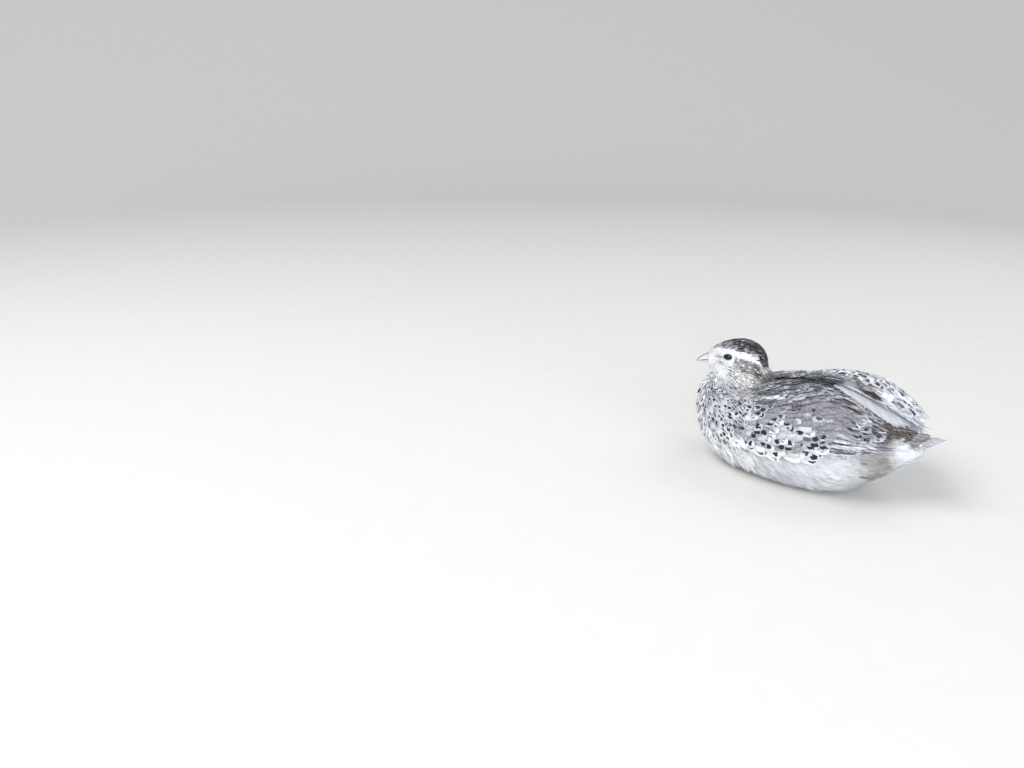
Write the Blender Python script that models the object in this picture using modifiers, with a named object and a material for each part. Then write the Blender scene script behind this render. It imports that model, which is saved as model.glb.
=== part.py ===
"""A coturnix quail hen at rest: a still, life-size model in metres, +Z up, bill towards -Y, her left +X.

She sits on her belly with her feet folded under her, her neck drawn in, her head turned to her left and
her wings held loosely. Each part of the body that has a name is one closed solid.
"""

import math
from collections import namedtuple

import bmesh
import bpy
from mathutils import Matrix, Vector

MM = 0.001
GAP = 0.3 * MM

# Cross-sections of the torso in millimetres: distance behind the middle, underside, widest height, back,
# half width.
TORSO_STATIONS = [
    (-74.0, 36.0, 43.0, 50.0, 5.0),
    (-71.5, 25.0, 42.0, 56.0, 17.0),
    (-66.5, 14.5, 40.0, 58.0, 26.0),
    (-57.0, 5.0, 36.5, 58.5, 33.5),
    (-44.0, -0.5, 33.5, 58.5, 39.0),
    (-26.0, -3.0, 31.0, 59.5, 42.5),
    (-5.0, -3.5, 30.0, 63.0, 44.0),
    (15.0, -3.0, 31.0, 62.5, 42.5),
    (32.0, 1.0, 33.0, 57.0, 37.5),
    (47.0, 9.5, 35.0, 50.0, 30.0),
    (59.0, 20.0, 36.5, 46.0, 22.0),
    (68.0, 29.0, 38.0, 43.5, 14.0),
    (73.0, 34.5, 38.5, 42.0, 6.5),
]

# The head's own cross-sections, from the base of the bill to the back of the head, about its centre.
HEAD_STATIONS = [
    (-23.4, -6.3, -3.0, 0.2, 2.6),
    (-21.2, -6.8, -3.0, 1.0, 3.5),
    (-19.6, -8.4, -3.0, 3.0, 4.6),
    (-17.6, -10.8, -2.8, 5.3, 5.8),
    (-14.7, -13.0, -2.4, 7.6, 7.3),
    (-9.5, -13.8, -2.0, 9.9, 9.4),
    (-3.0, -13.8, -1.8, 11.6, 11.2),
    (3.5, -14.0, -2.2, 11.9, 12.0),
    (9.5, -13.8, -3.0, 10.3, 11.8),
    (14.0, -12.8, -3.8, 7.7, 10.2),
    (17.4, -11.0, -4.4, 3.6, 7.4),
    (19.4, -8.5, -5.0, -0.8, 3.8),
]

# The outer face of a folded wing, a little outside the torso and further out towards the tip.
WING_STATIONS = [
    (-60.0, 8.0, 39.0, 55.0, 35.0),
    (-50.0, 3.0, 35.5, 58.0, 41.0),
    (-33.0, 0.0, 33.0, 62.0, 45.5),
    (-10.0, 0.0, 32.5, 67.0, 47.5),
    (10.0, 0.0, 33.0, 68.5, 47.0),
    (28.0, 2.0, 35.0, 64.0, 43.5),
    (42.0, 8.0, 37.0, 57.0, 37.0),
    (52.0, 15.0, 39.0, 52.0, 31.5),
    (62.0, 22.0, 41.0, 49.0, 26.0),
    (76.0, 28.0, 42.0, 46.5, 20.0),
]

# The wing's core, the part that carries the feathers: its distance behind the middle, its edges in degrees
# down from the middle of the back, and its depth.
WING_CORE = [
    (-56.0, 66.0, 84.0, 3.0),
    (-50.0, 48.0, 94.0, 4.5),
    (-38.0, 28.0, 101.0, 6.0),
    (-16.0, 12.0, 103.0, 7.0),
    (4.0, 9.0, 101.0, 7.0),
    (18.0, 12.0, 96.0, 5.0),
    (24.0, 18.0, 90.0, 3.4),
]
CORE_OUT = -1.2

# How far the right wing, held more loosely, is raised about the middle of the back, in degrees, and how much
# further back it reaches behind REACH_START.
WING_LIFT = [
    (-60.0, 0.0),
    (-30.0, 0.0),
    (-5.0, 4.0),
    (15.0, 15.0),
    (35.0, 24.0),
    (48.0, 24.0),
    (56.0, 15.0),
    (62.0, 6.0),
]
REACH_START = 10.0
REACH_SHARE = 0.25
WING_RINGS = 11
WING_ARC_POINTS = 8

# The wing's feathers in tiers, rear tiers first, each lying over the one before. A tier runs from its first
# feather to its last, with root and tip as distance behind the middle and degrees down from the back.
Tier = namedtuple("Tier", "count first_root first_tip last_root last_tip half_width root_out tip_out")
# The right wing's innermost long feathers, which the near wing hides on its own side.
LOOSE_TIER = Tier(4, (16.0, 52.0), (61.0, 50.0), (13.0, 16.0), (57.0, 13.0), 6.0, -3.0, -1.3)
WING_TIERS = [
    Tier(5, (12.0, 91.0), (53.0, 81.0), (10.0, 82.0), (61.0, 68.0), 3.8, -3.6, -2.4),
    Tier(6, (4.0, 86.0), (44.0, 85.0), (4.0, 58.0), (54.0, 57.0), 4.3, -3.0, -1.4),
    Tier(4, (0.0, 48.0), (56.0, 49.0), (-2.0, 14.0), (41.0, 11.0), 6.2, -2.6, -0.6),
    Tier(8, (-10.0, 96.0), (17.0, 95.0), (-14.0, 46.0), (24.0, 44.0), 4.3, -3.2, -0.3),
    Tier(7, (-24.0, 95.0), (0.0, 96.0), (-28.0, 46.0), (4.0, 44.0), 4.7, -3.2, -0.2),
    Tier(5, (-40.0, 90.0), (-18.0, 95.0), (-42.0, 58.0), (-15.0, 48.0), 4.8, -3.2, -0.1),
    Tier(3, (-12.0, 34.0), (29.0, 33.0), (-14.0, 15.0), (25.0, 12.0), 6.6, -3.0, 0.0),
    Tier(3, (-34.0, 38.0), (4.0, 34.0), (-33.0, 21.0), (3.0, 13.0), 6.4, -3.0, 0.2),
]
VANE_TILT = 0.75
VANE_THICKNESS = 0.55
# The share of its thickness that a vane loses by its tip.
VANE_THINNING = 0.35
# The side of a vane's four that faces the body.
INNER_FACE = 2
# How wide a vane is along its length, as shares of its full width at shares of its length.
VANE_OUTLINE = [(0.0, 0.6), (0.4, 1.0), (0.82, 0.82), (1.0, 0.16)]

# The tail's core, the rump and the roots of the tail: distance behind the middle, underside, middle height,
# top, half width.
TAIL_STATIONS = [
    (54.0, 37.5, 42.5, 48.0, 11.0),
    (64.0, 38.8, 42.5, 46.6, 11.5),
    (70.0, 41.0, 43.4, 46.0, 9.0),
    (74.5, 43.2, 44.4, 45.6, 4.0),
]
# Rows of tail feathers: count on each side, distance behind the middle, distance to the side and height of
# the root and tip of the middle feather, then how much the outermost differs, and half width.
TailRow = namedtuple("TailRow", "count root tip root_spread tip_spread half_width")
TAIL_ROWS = [
    TailRow(4, (2.0, 62.0, 43.2), (1.8, 83.5, 47.0), (5.5, 0.0, -1.6), (8.5, -8.0, -3.8), 3.2),
    TailRow(2, (2.2, 58.0, 44.4), (2.4, 74.5, 47.6), (5.0, 0.0, -1.4), (5.5, -3.5, -2.4), 4.0),
    TailRow(2, (2.2, 62.0, 40.4), (2.4, 77.0, 43.2), (5.0, 0.0, 0.6), (5.0, -5.0, 0.2), 3.8),
]
# How steeply each side of the tail falls away from its middle, and how many rings and sides its core has.
TAIL_SLOPE = 0.28
TAIL_RINGS = 7
TAIL_SIDES = 14

ROUNDNESS = 2.25
RING_POINTS = 40
TORSO_RINGS = 60
HEAD_RINGS = 40

HEAD_CENTRE = Vector((4.2, -49.9, 73.5)) * MM
HEAD_TURN = math.radians(30.0)
HEAD_NOD = math.radians(-1.0)

# The neck is a hull of three ellipsoids: radii and centre in millimetres, the first about the head's centre.
NECK_TOP = ((11.5, 15.0, 11.0), (-0.5, 2.5, -4.0))
NECK_MIDDLE = ((20.0, 20.5, 14.0), (1.5, -47.5, 56.0))
NECK_ROOT = ((30.0, 26.0, 18.0), (0.0, -43.0, 43.0))

# The planes that part the torso, neck and head: a point and the way up through the neck.
NECK_BASE_POINT = Vector((0.0, -45.0, 56.0)) * MM
NECK_BASE_NORMAL = Vector((0.0, -0.35, 0.94)).normalized()
HEAD_BASE_POINT = Vector((0.0, 0.0, -11.5)) * MM
HEAD_BASE_NORMAL = Vector((0.0, -0.3, 0.95)).normalized()

# Eyes and lids, in the head's own axes.
EYE_RADIUS = 3.5 * MM
EYE_CENTRE = Vector((6.4, -8.0, 1.0)) * MM
EYE_LOOK = Vector((0.95, -0.25, 0.12)).normalized()
LID_RING = 3.1 * MM
LID_THICK = 0.8 * MM
LID_OUT = 2.7 * MM
# The open eye's height as a share of its length.
LID_HEIGHT = 0.78
LID_SIDES = 8
LID_STEPS = 24

# The bill, in the head's own axes: distance behind the head's centre, underside, widest height, top, half
# width, all in millimetres.
BILL_ROOT = -20.9
UPPER_BILL_STATIONS = [
    (-27.9, -6.1, -5.8, -5.5, 0.35),
    (-27.0, -5.7, -5.0, -4.0, 0.9),
    (-25.3, -5.0, -4.1, -2.2, 1.55),
    (-23.2, -4.5, -3.5, -0.6, 2.15),
    (-21.6, -4.2, -3.2, 0.2, 2.5),
    (-20.6, -4.1, -3.1, 0.5, 2.7),
]
LOWER_BILL_STATIONS = [
    (-26.8, -6.55, -6.4, -6.25, 0.4),
    (-26.0, -6.75, -6.15, -5.8, 0.9),
    (-24.6, -6.75, -5.7, -5.25, 1.4),
    (-23.0, -6.6, -5.3, -4.9, 1.85),
    (-21.6, -6.45, -5.1, -4.6, 2.25),
    (-20.6, -6.4, -5.0, -4.5, 2.45),
]
UPPER_BILL_RINGS = 10
UPPER_BILL_SIDES = 16
LOWER_BILL_RINGS = 8
LOWER_BILL_SIDES = 14
NOSTRIL_RADII = Vector((0.7, 1.2, 0.45)) * MM
NOSTRIL_CENTRE = Vector((2.3, -22.3, -1.9)) * MM
NOSTRIL_SIDES = 12
MOUTH_HEIGHT = -4.3 * MM
MOUTH_DEPTH = 3.0 * MM
# The slit of the mouth is wider than the head, and its height is this many gaps.
MOUTH_WIDTH = 30.0 * MM
MOUTH_OPEN = 1.2

# Legs, folded flat under the belly: the hock, the root of the toes and each toe's tip, in millimetres.
HOCK = Vector((14.0, 24.0, 2.2))
FOOT = Vector((15.0, -7.0, 2.0))
TOE_TIPS = [
    Vector((8.0, -25.0, 1.5)),
    Vector((14.5, -31.0, 1.5)),
    Vector((22.0, -25.0, 1.5)),
    Vector((9.5, -1.5, 1.5)),
]
TARSUS_RADIUS = 2.2
TOE_RADIUS = 1.5
TOE_END_RADIUS = 1.2
CLAW_LENGTH = 4.0
CLAW_RADIUS = 1.125
CLAW_TIP_RADIUS = 0.25
LIMB_SIDES = 8
# How far below the feet their hollow in the belly reaches, to be open underneath.
HOLLOW_DROP = 8.0
FLOOR_CUT = 0.35 * MM

FLESH_VOXEL = 1.5 * MM
FLESH_SMOOTHING = 8
FLESH_TRIANGLES = 2500
FLAT_ANGLE = math.radians(40.0)

# The colour and the roughness of each finish.
PALE_PLUMAGE = ((0.72, 0.72, 0.73), 0.9)
SPOTTED_PLUMAGE = ((0.50, 0.50, 0.52), 0.9)
BILL_HORN = ((0.55, 0.48, 0.46), 0.4)
LEG_SKIN = ((0.70, 0.52, 0.42), 0.6)
DARK_EYE = ((0.02, 0.015, 0.01), 0.1)


def clear_scene():
    """Removes whatever the file opened with."""
    for obj in list(bpy.data.objects):
        bpy.data.objects.remove(obj)


def material(name, colour, roughness):
    """A plain Principled finish."""
    finish = bpy.data.materials.new(name)
    finish.use_nodes = True
    shader = finish.node_tree.nodes["Principled BSDF"]
    shader.inputs["Base Color"].default_value = (*colour, 1.0)
    shader.inputs["Roughness"].default_value = roughness
    return finish


def dress(objects, finish):
    """Gives each object its finish, shaded smooth but for its real edges."""
    for obj in objects:
        obj.data.materials.clear()
        obj.data.materials.append(finish)
        obj.data.shade_smooth()
        obj.data.set_sharp_from_angle(angle=FLAT_ANGLE)


def new_object(name, mesh_builder, collection):
    """An object whose mesh is taken from a bmesh, which is freed."""
    mesh = bpy.data.meshes.new(name)
    mesh_builder.to_mesh(mesh)
    mesh_builder.free()
    obj = bpy.data.objects.new(name, mesh)
    collection.objects.link(obj)
    return obj


def eased(stations, y):
    """The station's other values at y, on a smooth curve through the listed ones."""
    last = len(stations) - 1
    index = 0
    while index < last - 1 and y > stations[index + 1][0]:
        index += 1
    before = stations[max(index - 1, 0)]
    start = stations[index]
    end = stations[index + 1]
    after = stations[min(index + 2, last)]
    span = end[0] - start[0]
    t = min(max((y - start[0]) / span, 0.0), 1.0)
    values = []
    for k in range(1, len(start)):
        leave = (end[k] - before[k]) / (end[0] - before[0]) * span
        arrive = (after[k] - start[k]) / (after[0] - start[0]) * span
        blend_start = 2 * t**3 - 3 * t**2 + 1
        blend_end = 3 * t**2 - 2 * t**3
        value = blend_start * start[k] + blend_end * end[k]
        value += (t**3 - 2 * t**2 + t) * leave + (t**3 - t**2) * arrive
        values.append(value)
    return values


def surface_point(stations, y, angle, out=0.0):
    """A point of a stationed form in metres: y and out in millimetres, angle in degrees from the top."""
    bottom, middle, top, half_width = eased(stations, y)
    turn = math.radians(angle)
    side = math.copysign(abs(math.sin(turn)) ** (2 / ROUNDNESS), math.sin(turn))
    rise = math.copysign(abs(math.cos(turn)) ** (2 / ROUNDNESS), math.cos(turn))
    height = top - middle if rise > 0 else middle - bottom
    point = Vector((half_width * side, y, middle + height * rise))
    if out:
        normal = Vector((half_width * side / half_width**2, 0.0, height * rise / height**2))
        point += normal.normalized() * out
    return point * MM


def face_outwards(shape):
    """Turns every face of a closed bmesh to point out of it."""
    bmesh.ops.recalc_face_normals(shape, faces=shape.faces)
    if shape.calc_volume(signed=True) < 0:
        bmesh.ops.reverse_faces(shape, faces=shape.faces)


def loft(rings):
    """A bmesh through closed rings of points, capped at both ends, with its faces pointing out."""
    shape = bmesh.new()
    loops = [[shape.verts.new(point) for point in ring] for ring in rings]
    for near, far in zip(loops, loops[1:]):
        for k in range(len(near)):
            after = (k + 1) % len(near)
            shape.faces.new((near[k], near[after], far[after], far[k]))
    shape.faces.new(loops[0][::-1])
    shape.faces.new(loops[-1])
    face_outwards(shape)
    return shape


def stationed_form(name, stations, steps, collection, sides=RING_POINTS):
    """A closed form through stations, with steps rings of so many sides along it."""
    first = stations[0][0]
    length = stations[-1][0] - first
    rings = []
    for step in range(steps):
        y = first + length * step / (steps - 1)
        angles = [360.0 * k / sides for k in range(sides)]
        rings.append([surface_point(stations, y, angle) for angle in angles])
    return new_object(name, loft(rings), collection)


def ball(name, radii, centre, collection, around=18):
    """An ellipsoid, with so many segments around."""
    shape = bmesh.new()
    bmesh.ops.create_uvsphere(shape, u_segments=around, v_segments=around // 2, radius=1.0)
    bmesh.ops.scale(shape, vec=Vector(radii), verts=shape.verts)
    bmesh.ops.translate(shape, vec=Vector(centre), verts=shape.verts)
    return new_object(name, shape, collection)


def hull_of(ellipsoids, around=24, upward=16):
    """A bmesh of the convex form round ellipsoids, each given by its radii and centre in millimetres."""
    spheres = bmesh.new()
    for radii, centre in ellipsoids:
        made = bmesh.ops.create_uvsphere(spheres, u_segments=around, v_segments=upward, radius=1.0)
        bmesh.ops.scale(spheres, vec=Vector(radii), verts=made["verts"])
        bmesh.ops.translate(spheres, vec=Vector(centre), verts=made["verts"])
    hull = bmesh.new()
    for vert in spheres.verts:
        hull.verts.new(vert.co * MM)
    spheres.free()
    bmesh.ops.convex_hull(hull, input=hull.verts)
    loose = [vert for vert in hull.verts if not vert.link_faces]
    bmesh.ops.delete(hull, geom=loose, context="VERTS")
    face_outwards(hull)
    return hull


def add_modifier(obj, kind, **settings):
    """A modifier with its settings."""
    modifier = obj.modifiers.new(kind.title(), kind)
    for setting, value in settings.items():
        setattr(modifier, setting, value)
    return modifier


def apply_modifiers(obj):
    """Replaces the object's mesh with the one that its modifiers make."""
    bpy.context.view_layer.update()
    graph = bpy.context.evaluated_depsgraph_get()
    made = bpy.data.meshes.new_from_object(obj.evaluated_get(graph))
    obj.modifiers.clear()
    obj.data = made


def keep_largest(obj):
    """Drops every closed surface of the mesh but the one with the most volume."""
    shape = bmesh.new()
    shape.from_mesh(obj.data)
    bmesh.ops.remove_doubles(shape, verts=shape.verts, dist=1e-7)
    left = set(shape.faces)
    islands = []
    while left:
        stack = [left.pop()]
        island = []
        while stack:
            face = stack.pop()
            island.append(face)
            for edge in face.edges:
                for other in edge.link_faces:
                    if other in left:
                        left.remove(other)
                        stack.append(other)
        islands.append(island)

    def volume(island):
        total = 0.0
        for face in island:
            corners = [vert.co for vert in face.verts]
            for k in range(1, len(corners) - 1):
                total += corners[0].dot(corners[k].cross(corners[k + 1]))
        return total

    islands.sort(key=volume, reverse=True)
    scraps = [face for island in islands[1:] for face in island]
    bmesh.ops.delete(shape, geom=scraps, context="FACES")
    shape.to_mesh(obj.data)
    shape.free()


def join_all(obj, pieces):
    """Unions a collection of closed pieces with obj into one closed body, and removes the pieces."""
    joined = {"operand_type": "COLLECTION", "collection": pieces, "solver": "MANIFOLD"}
    add_modifier(obj, "BOOLEAN", operation="UNION", **joined)
    apply_modifiers(obj)
    for piece in list(pieces.objects):
        bpy.data.objects.remove(piece)
    bpy.data.collections.remove(pieces)
    keep_largest(obj)


def cut_away(obj, cutter):
    """Takes the cutter's space out of obj."""
    add_modifier(obj, "BOOLEAN", operation="DIFFERENCE", object=cutter, solver="MANIFOLD")
    apply_modifiers(obj)
    keep_largest(obj)


def grown_copy(obj, name, distance):
    """A helper copy of obj, its surface moved out by distance."""
    copy = bpy.data.objects.new(name, obj.data.copy())
    cutters().objects.link(copy)
    shape = bmesh.new()
    shape.from_mesh(copy.data)
    shape.normal_update()
    for vert, normal in [(vert, vert.normal.copy()) for vert in shape.verts]:
        vert.co += normal * distance
    shape.to_mesh(copy.data)
    shape.free()
    return copy


def scratch_collection(name):
    """A collection for pieces that are joined into a node."""
    collection = bpy.data.collections.new(name)
    bpy.context.scene.collection.children.link(collection)
    return collection


def cutters():
    """The collection of helper shapes, which no render shows."""
    found = bpy.data.collections.get("cutters")
    if not found:
        found = scratch_collection("cutters")
        found.hide_render = True
    return found


def head_frame():
    """Turns the head's own axes to where the head is held."""
    turn = Matrix.Rotation(HEAD_TURN, 4, "Z")
    nod = Matrix.Rotation(HEAD_NOD, 4, "X")
    return Matrix.Translation(HEAD_CENTRE) @ turn @ nod


def place(obj, frame):
    """Moves the mesh of obj by a matrix."""
    obj.data.transform(frame)
    return obj


def make_flesh():
    """Torso, neck and head as one smooth closed form, out to the tips of the small feathers."""
    pieces = scratch_collection("flesh_pieces")
    flesh = stationed_form("flesh", TORSO_STATIONS, TORSO_RINGS, cutters())
    head = stationed_form("head_form", HEAD_STATIONS, HEAD_RINGS, pieces)
    place(head, head_frame())
    top_radii, top_offset = NECK_TOP
    above = (top_radii, HEAD_CENTRE / MM + Vector(top_offset))
    new_object("neck_form", hull_of((above, NECK_MIDDLE, NECK_ROOT)), pieces)
    join_all(flesh, pieces)
    add_modifier(flesh, "REMESH", mode="VOXEL", voxel_size=FLESH_VOXEL)
    add_modifier(flesh, "SMOOTH", factor=0.5, iterations=FLESH_SMOOTHING)
    apply_modifiers(flesh)
    triangles = 2 * len(flesh.data.polygons)
    add_modifier(flesh, "DECIMATE", ratio=FLESH_TRIANGLES / triangles)
    apply_modifiers(flesh)
    return flesh


def sliced(source, name, planes, collection):
    """A copy of source, kept on the side of each plane that its normal points to, with the cuts closed."""
    shape = bmesh.new()
    shape.from_mesh(source.data)
    for point, normal in planes:
        geometry = shape.verts[:] + shape.edges[:] + shape.faces[:]
        bmesh.ops.bisect_plane(shape, geom=geometry, plane_co=point, plane_no=normal, clear_inner=True)
        rim = [edge for edge in shape.edges if edge.is_boundary]
        made = bmesh.ops.holes_fill(shape, edges=rim, sides=0)
        bmesh.ops.triangulate(shape, faces=made["faces"])
    face_outwards(shape)
    obj = new_object(name, shape, collection)
    keep_largest(obj)
    return obj


def make_torso(flesh, model):
    """The body below the neck, flat where it lies on the floor."""
    base = NECK_BASE_POINT - NECK_BASE_NORMAL * GAP / 2
    planes = ((base, -NECK_BASE_NORMAL), (Vector((0.0, 0.0, 0.0)), Vector((0.0, 0.0, 1.0))))
    return sliced(flesh, "torso", planes, model)


def head_plane():
    """The plane under the jaw and behind the ears."""
    frame = head_frame()
    return frame @ HEAD_BASE_POINT, frame.to_3x3() @ HEAD_BASE_NORMAL


def make_neck(flesh, model):
    """The drawn-in neck between torso and head."""
    point, normal = head_plane()
    base = NECK_BASE_POINT + NECK_BASE_NORMAL * GAP / 2
    planes = ((base, NECK_BASE_NORMAL), (point - normal * GAP / 2, -normal))
    return sliced(flesh, "neck", planes, model)


def make_head(flesh, model):
    """The head, cut flat for the bill, with sockets and rings of lid for the eyes and the line of the mouth."""
    point, normal = head_plane()
    frame = head_frame()
    front = frame @ Vector((0.0, BILL_ROOT * MM + GAP, 0.0))
    backward = frame.to_3x3() @ Vector((0.0, 1.0, 0.0))
    head = sliced(flesh, "head", ((point + normal * GAP / 2, normal), (front, backward)), model)
    lids = scratch_collection("lids")
    for side in (1, -1):
        place(lid_ring(side, lids), frame)
    join_all(head, lids)
    for side in (1, -1):
        centre = frame @ on_side(EYE_CENTRE, side)
        cut_away(head, ball("socket", [EYE_RADIUS + GAP] * 3, centre, cutters()))
    cut_away(head, place(mouth_slit(), frame))
    return head


def on_side(point, side):
    """A point or direction of the left side, on the side asked: 1 left, -1 right."""
    return Vector((point.x * side, point.y, point.z))


def lid_ring(side, collection):
    """The thick rim of the eyelids, a ring about the way the eye looks."""
    profile = bmesh.new()
    corners = [2 * math.pi * k / LID_SIDES for k in range(LID_SIDES)]
    ring = [
        profile.verts.new((LID_RING + LID_THICK * math.cos(turn), 0.0, LID_THICK * math.sin(turn)))
        for turn in corners
    ]
    for near, far in zip(ring, ring[1:] + ring[:1]):
        profile.edges.new((near, far))
    bmesh.ops.spin(
        profile,
        geom=profile.edges[:],
        cent=(0.0, 0.0, 0.0),
        axis=(0.0, 0.0, 1.0),
        angle=2 * math.pi,
        steps=LID_STEPS,
        use_merge=True,
    )
    bmesh.ops.remove_doubles(profile, verts=profile.verts, dist=1e-7)
    bmesh.ops.scale(profile, vec=Vector((1.0, LID_HEIGHT, 1.0)), verts=profile.verts)
    look = on_side(EYE_LOOK, side)
    turn = look.to_track_quat("Z", "Y").to_matrix().to_4x4()
    centre = on_side(EYE_CENTRE, side) + look * LID_OUT
    profile.transform(Matrix.Translation(centre) @ turn)
    face_outwards(profile)
    return new_object(f"lid_{side}", profile, collection)


def mouth_slit():
    """The line of the mouth running back from the bill."""
    shape = bmesh.new()
    bmesh.ops.create_cube(shape, size=1.0)
    size = Vector((MOUTH_WIDTH, 2 * MOUTH_DEPTH, MOUTH_OPEN * GAP))
    bmesh.ops.scale(shape, vec=size, verts=shape.verts)
    bmesh.ops.translate(shape, vec=Vector((0.0, BILL_ROOT * MM, MOUTH_HEIGHT)), verts=shape.verts)
    return new_object("mouth_slit", shape, cutters())


def make_eye(name, side, model):
    """The eyeball."""
    centre = head_frame() @ on_side(EYE_CENTRE, side)
    return ball(name, [EYE_RADIUS] * 3, centre, model)


def make_bill(model):
    """Both halves of the bill, the upper with its nostrils, a gap apart along the mouth."""
    frame = head_frame()
    upper = stationed_form("bill_upper", UPPER_BILL_STATIONS, UPPER_BILL_RINGS, model, UPPER_BILL_SIDES)
    lower = stationed_form("bill_lower", LOWER_BILL_STATIONS, LOWER_BILL_RINGS, model, LOWER_BILL_SIDES)
    for side in (1, -1):
        centre = on_side(NOSTRIL_CENTRE, side)
        cut_away(upper, ball("nostril", NOSTRIL_RADII, centre, cutters(), NOSTRIL_SIDES))
    return [place(upper, frame), place(lower, frame)]


def wing_point(side, y, angle, out=0.0):
    """A point of a wing's outer face in metres: y and out in millimetres, angle in degrees from the back."""
    point = surface_point(WING_STATIONS, y, angle, out)
    if side > 0:
        return point
    back = surface_point(WING_STATIONS, y, 0.0)
    turn = math.radians(eased(WING_LIFT, y)[0])
    across = point.x
    rise = point.z - back.z
    point.x = -(across * math.cos(turn) - rise * math.sin(turn))
    point.z = back.z + across * math.sin(turn) + rise * math.cos(turn)
    point.y += REACH_SHARE * max(y - REACH_START, 0.0) * MM
    return point


def wing_core(name, side, collection):
    """The arm and hand of a folded wing, with the roots of its feathers."""
    rings = []
    first = WING_CORE[0][0]
    length = WING_CORE[-1][0] - first
    for step in range(WING_RINGS):
        y = first + length * step / (WING_RINGS - 1)
        upper, lower, depth = eased(WING_CORE, y)
        angles = [upper + (lower - upper) * k / (WING_ARC_POINTS - 1) for k in range(WING_ARC_POINTS)]
        outer = [wing_point(side, y, angle, CORE_OUT) for angle in angles]
        inner = [wing_point(side, y, angle, CORE_OUT - depth) for angle in reversed(angles)]
        rings.append(outer + inner)
    return new_object(name, loft(rings), collection)


def between(start, end, share):
    """The tuple of values that lies a share of the way from start to end."""
    return tuple(a + (b - a) * share for a, b in zip(start, end))


def vane(sections, collection):
    """One feather's vane as a closed thin plate.

    Each section holds the upper and lower edge, first on the outer face and then on the inner one. Both faces
    are split along the same diagonals.
    """
    shape = bmesh.new()
    rows = [[shape.verts.new(point) for point in outer + inner[::-1]] for outer, inner in sections]
    sides = len(rows[0])
    for near, far in zip(rows, rows[1:]):
        for k in range(sides):
            after = (k + 1) % sides
            if k == INNER_FACE:
                shape.faces.new((near[k], near[after], far[k]))
                shape.faces.new((near[after], far[after], far[k]))
            else:
                shape.faces.new((near[k], near[after], far[after]))
                shape.faces.new((near[k], far[after], far[k]))
    shape.faces.new(rows[0][::-1])
    shape.faces.new(rows[-1])
    face_outwards(shape)
    return new_object("vane", shape, collection)


def wing_vane(side, root, tip, tier, collection):
    """A wing feather laid along the wing's outer face from root to tip."""
    sections = []
    for share, width in VANE_OUTLINE:
        y, angle = between(root, tip, share)
        out = tier.root_out + (tier.tip_out - tier.root_out) * share
        step = (wing_point(side, y, angle + 1.0) - wing_point(side, y, angle)).length / MM
        reach = tier.half_width * width / step
        thick = VANE_THICKNESS * (1.0 - VANE_THINNING * share)
        edges = ((angle - reach, out - VANE_TILT), (angle + reach, out + VANE_TILT))
        outer = [wing_point(side, y, at, height) for at, height in edges]
        inner = [wing_point(side, y, at, height - thick) for at, height in edges]
        sections.append((outer, inner))
    return vane(sections, collection)


def make_wing(name, side, flesh, model):
    """A folded wing: its core, and its flight feathers, coverts and shoulder feathers in tiers."""
    wing = wing_core(name, side, model)
    vanes = scratch_collection("vanes")
    for tier in WING_TIERS if side > 0 else [LOOSE_TIER, *WING_TIERS]:
        for k in range(tier.count):
            share = k / (tier.count - 1)
            root = between(tier.first_root, tier.last_root, share)
            tip = between(tier.first_tip, tier.last_tip, share)
            wing_vane(side, root, tip, tier, vanes)
    join_all(wing, vanes)
    cut_away(wing, flesh)
    return wing


def tail_vane(row, share, side, collection):
    """A tail feather, the middle ones highest, so that the tail is shaped like a low roof."""
    root = [at + share * more for at, more in zip(row.root, row.root_spread)]
    tip = [at + share * more for at, more in zip(row.tip, row.tip_spread)]
    slope = Vector((1.0, 0.0, -TAIL_SLOPE)).normalized()
    up = Vector((TAIL_SLOPE, 0.0, 1.0)).normalized()
    sections = []
    for along, width in VANE_OUTLINE:
        centre = Vector(between(root, tip, along))
        thick = VANE_THICKNESS * (1.0 - VANE_THINNING * along)
        half = row.half_width * width
        outer = [centre - slope * half, centre + slope * half - up * VANE_TILT]
        inner = [point - up * thick for point in outer]
        sections.append([[on_side(point, side) * MM for point in face] for face in (outer, inner)])
    return vane(sections, collection)


def make_tail(flesh, model):
    """The short pointed tail: its core, its feathers, and the coverts above and below them."""
    tail = stationed_form("tail", TAIL_STATIONS, TAIL_RINGS, model, TAIL_SIDES)
    vanes = scratch_collection("vanes")
    for row in TAIL_ROWS:
        for side in (1, -1):
            for k in range(row.count):
                tail_vane(row, k / (row.count - 1), side, vanes)
    join_all(tail, vanes)
    cut_away(tail, flesh)
    return tail


def side_limb(side, start, end, start_radius, end_radius, drop=0.0):
    """A bmesh of the convex form round two balls, reaching drop lower, in millimetres, on the side asked."""
    balls = [(on_side(start, side), start_radius), (on_side(end, side), end_radius)]
    if drop:
        balls += [(centre - Vector((0.0, 0.0, drop)), radius) for centre, radius in balls]
    return hull_of([((radius,) * 3, centre) for centre, radius in balls], LIMB_SIDES, LIMB_SIDES // 2)


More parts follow.
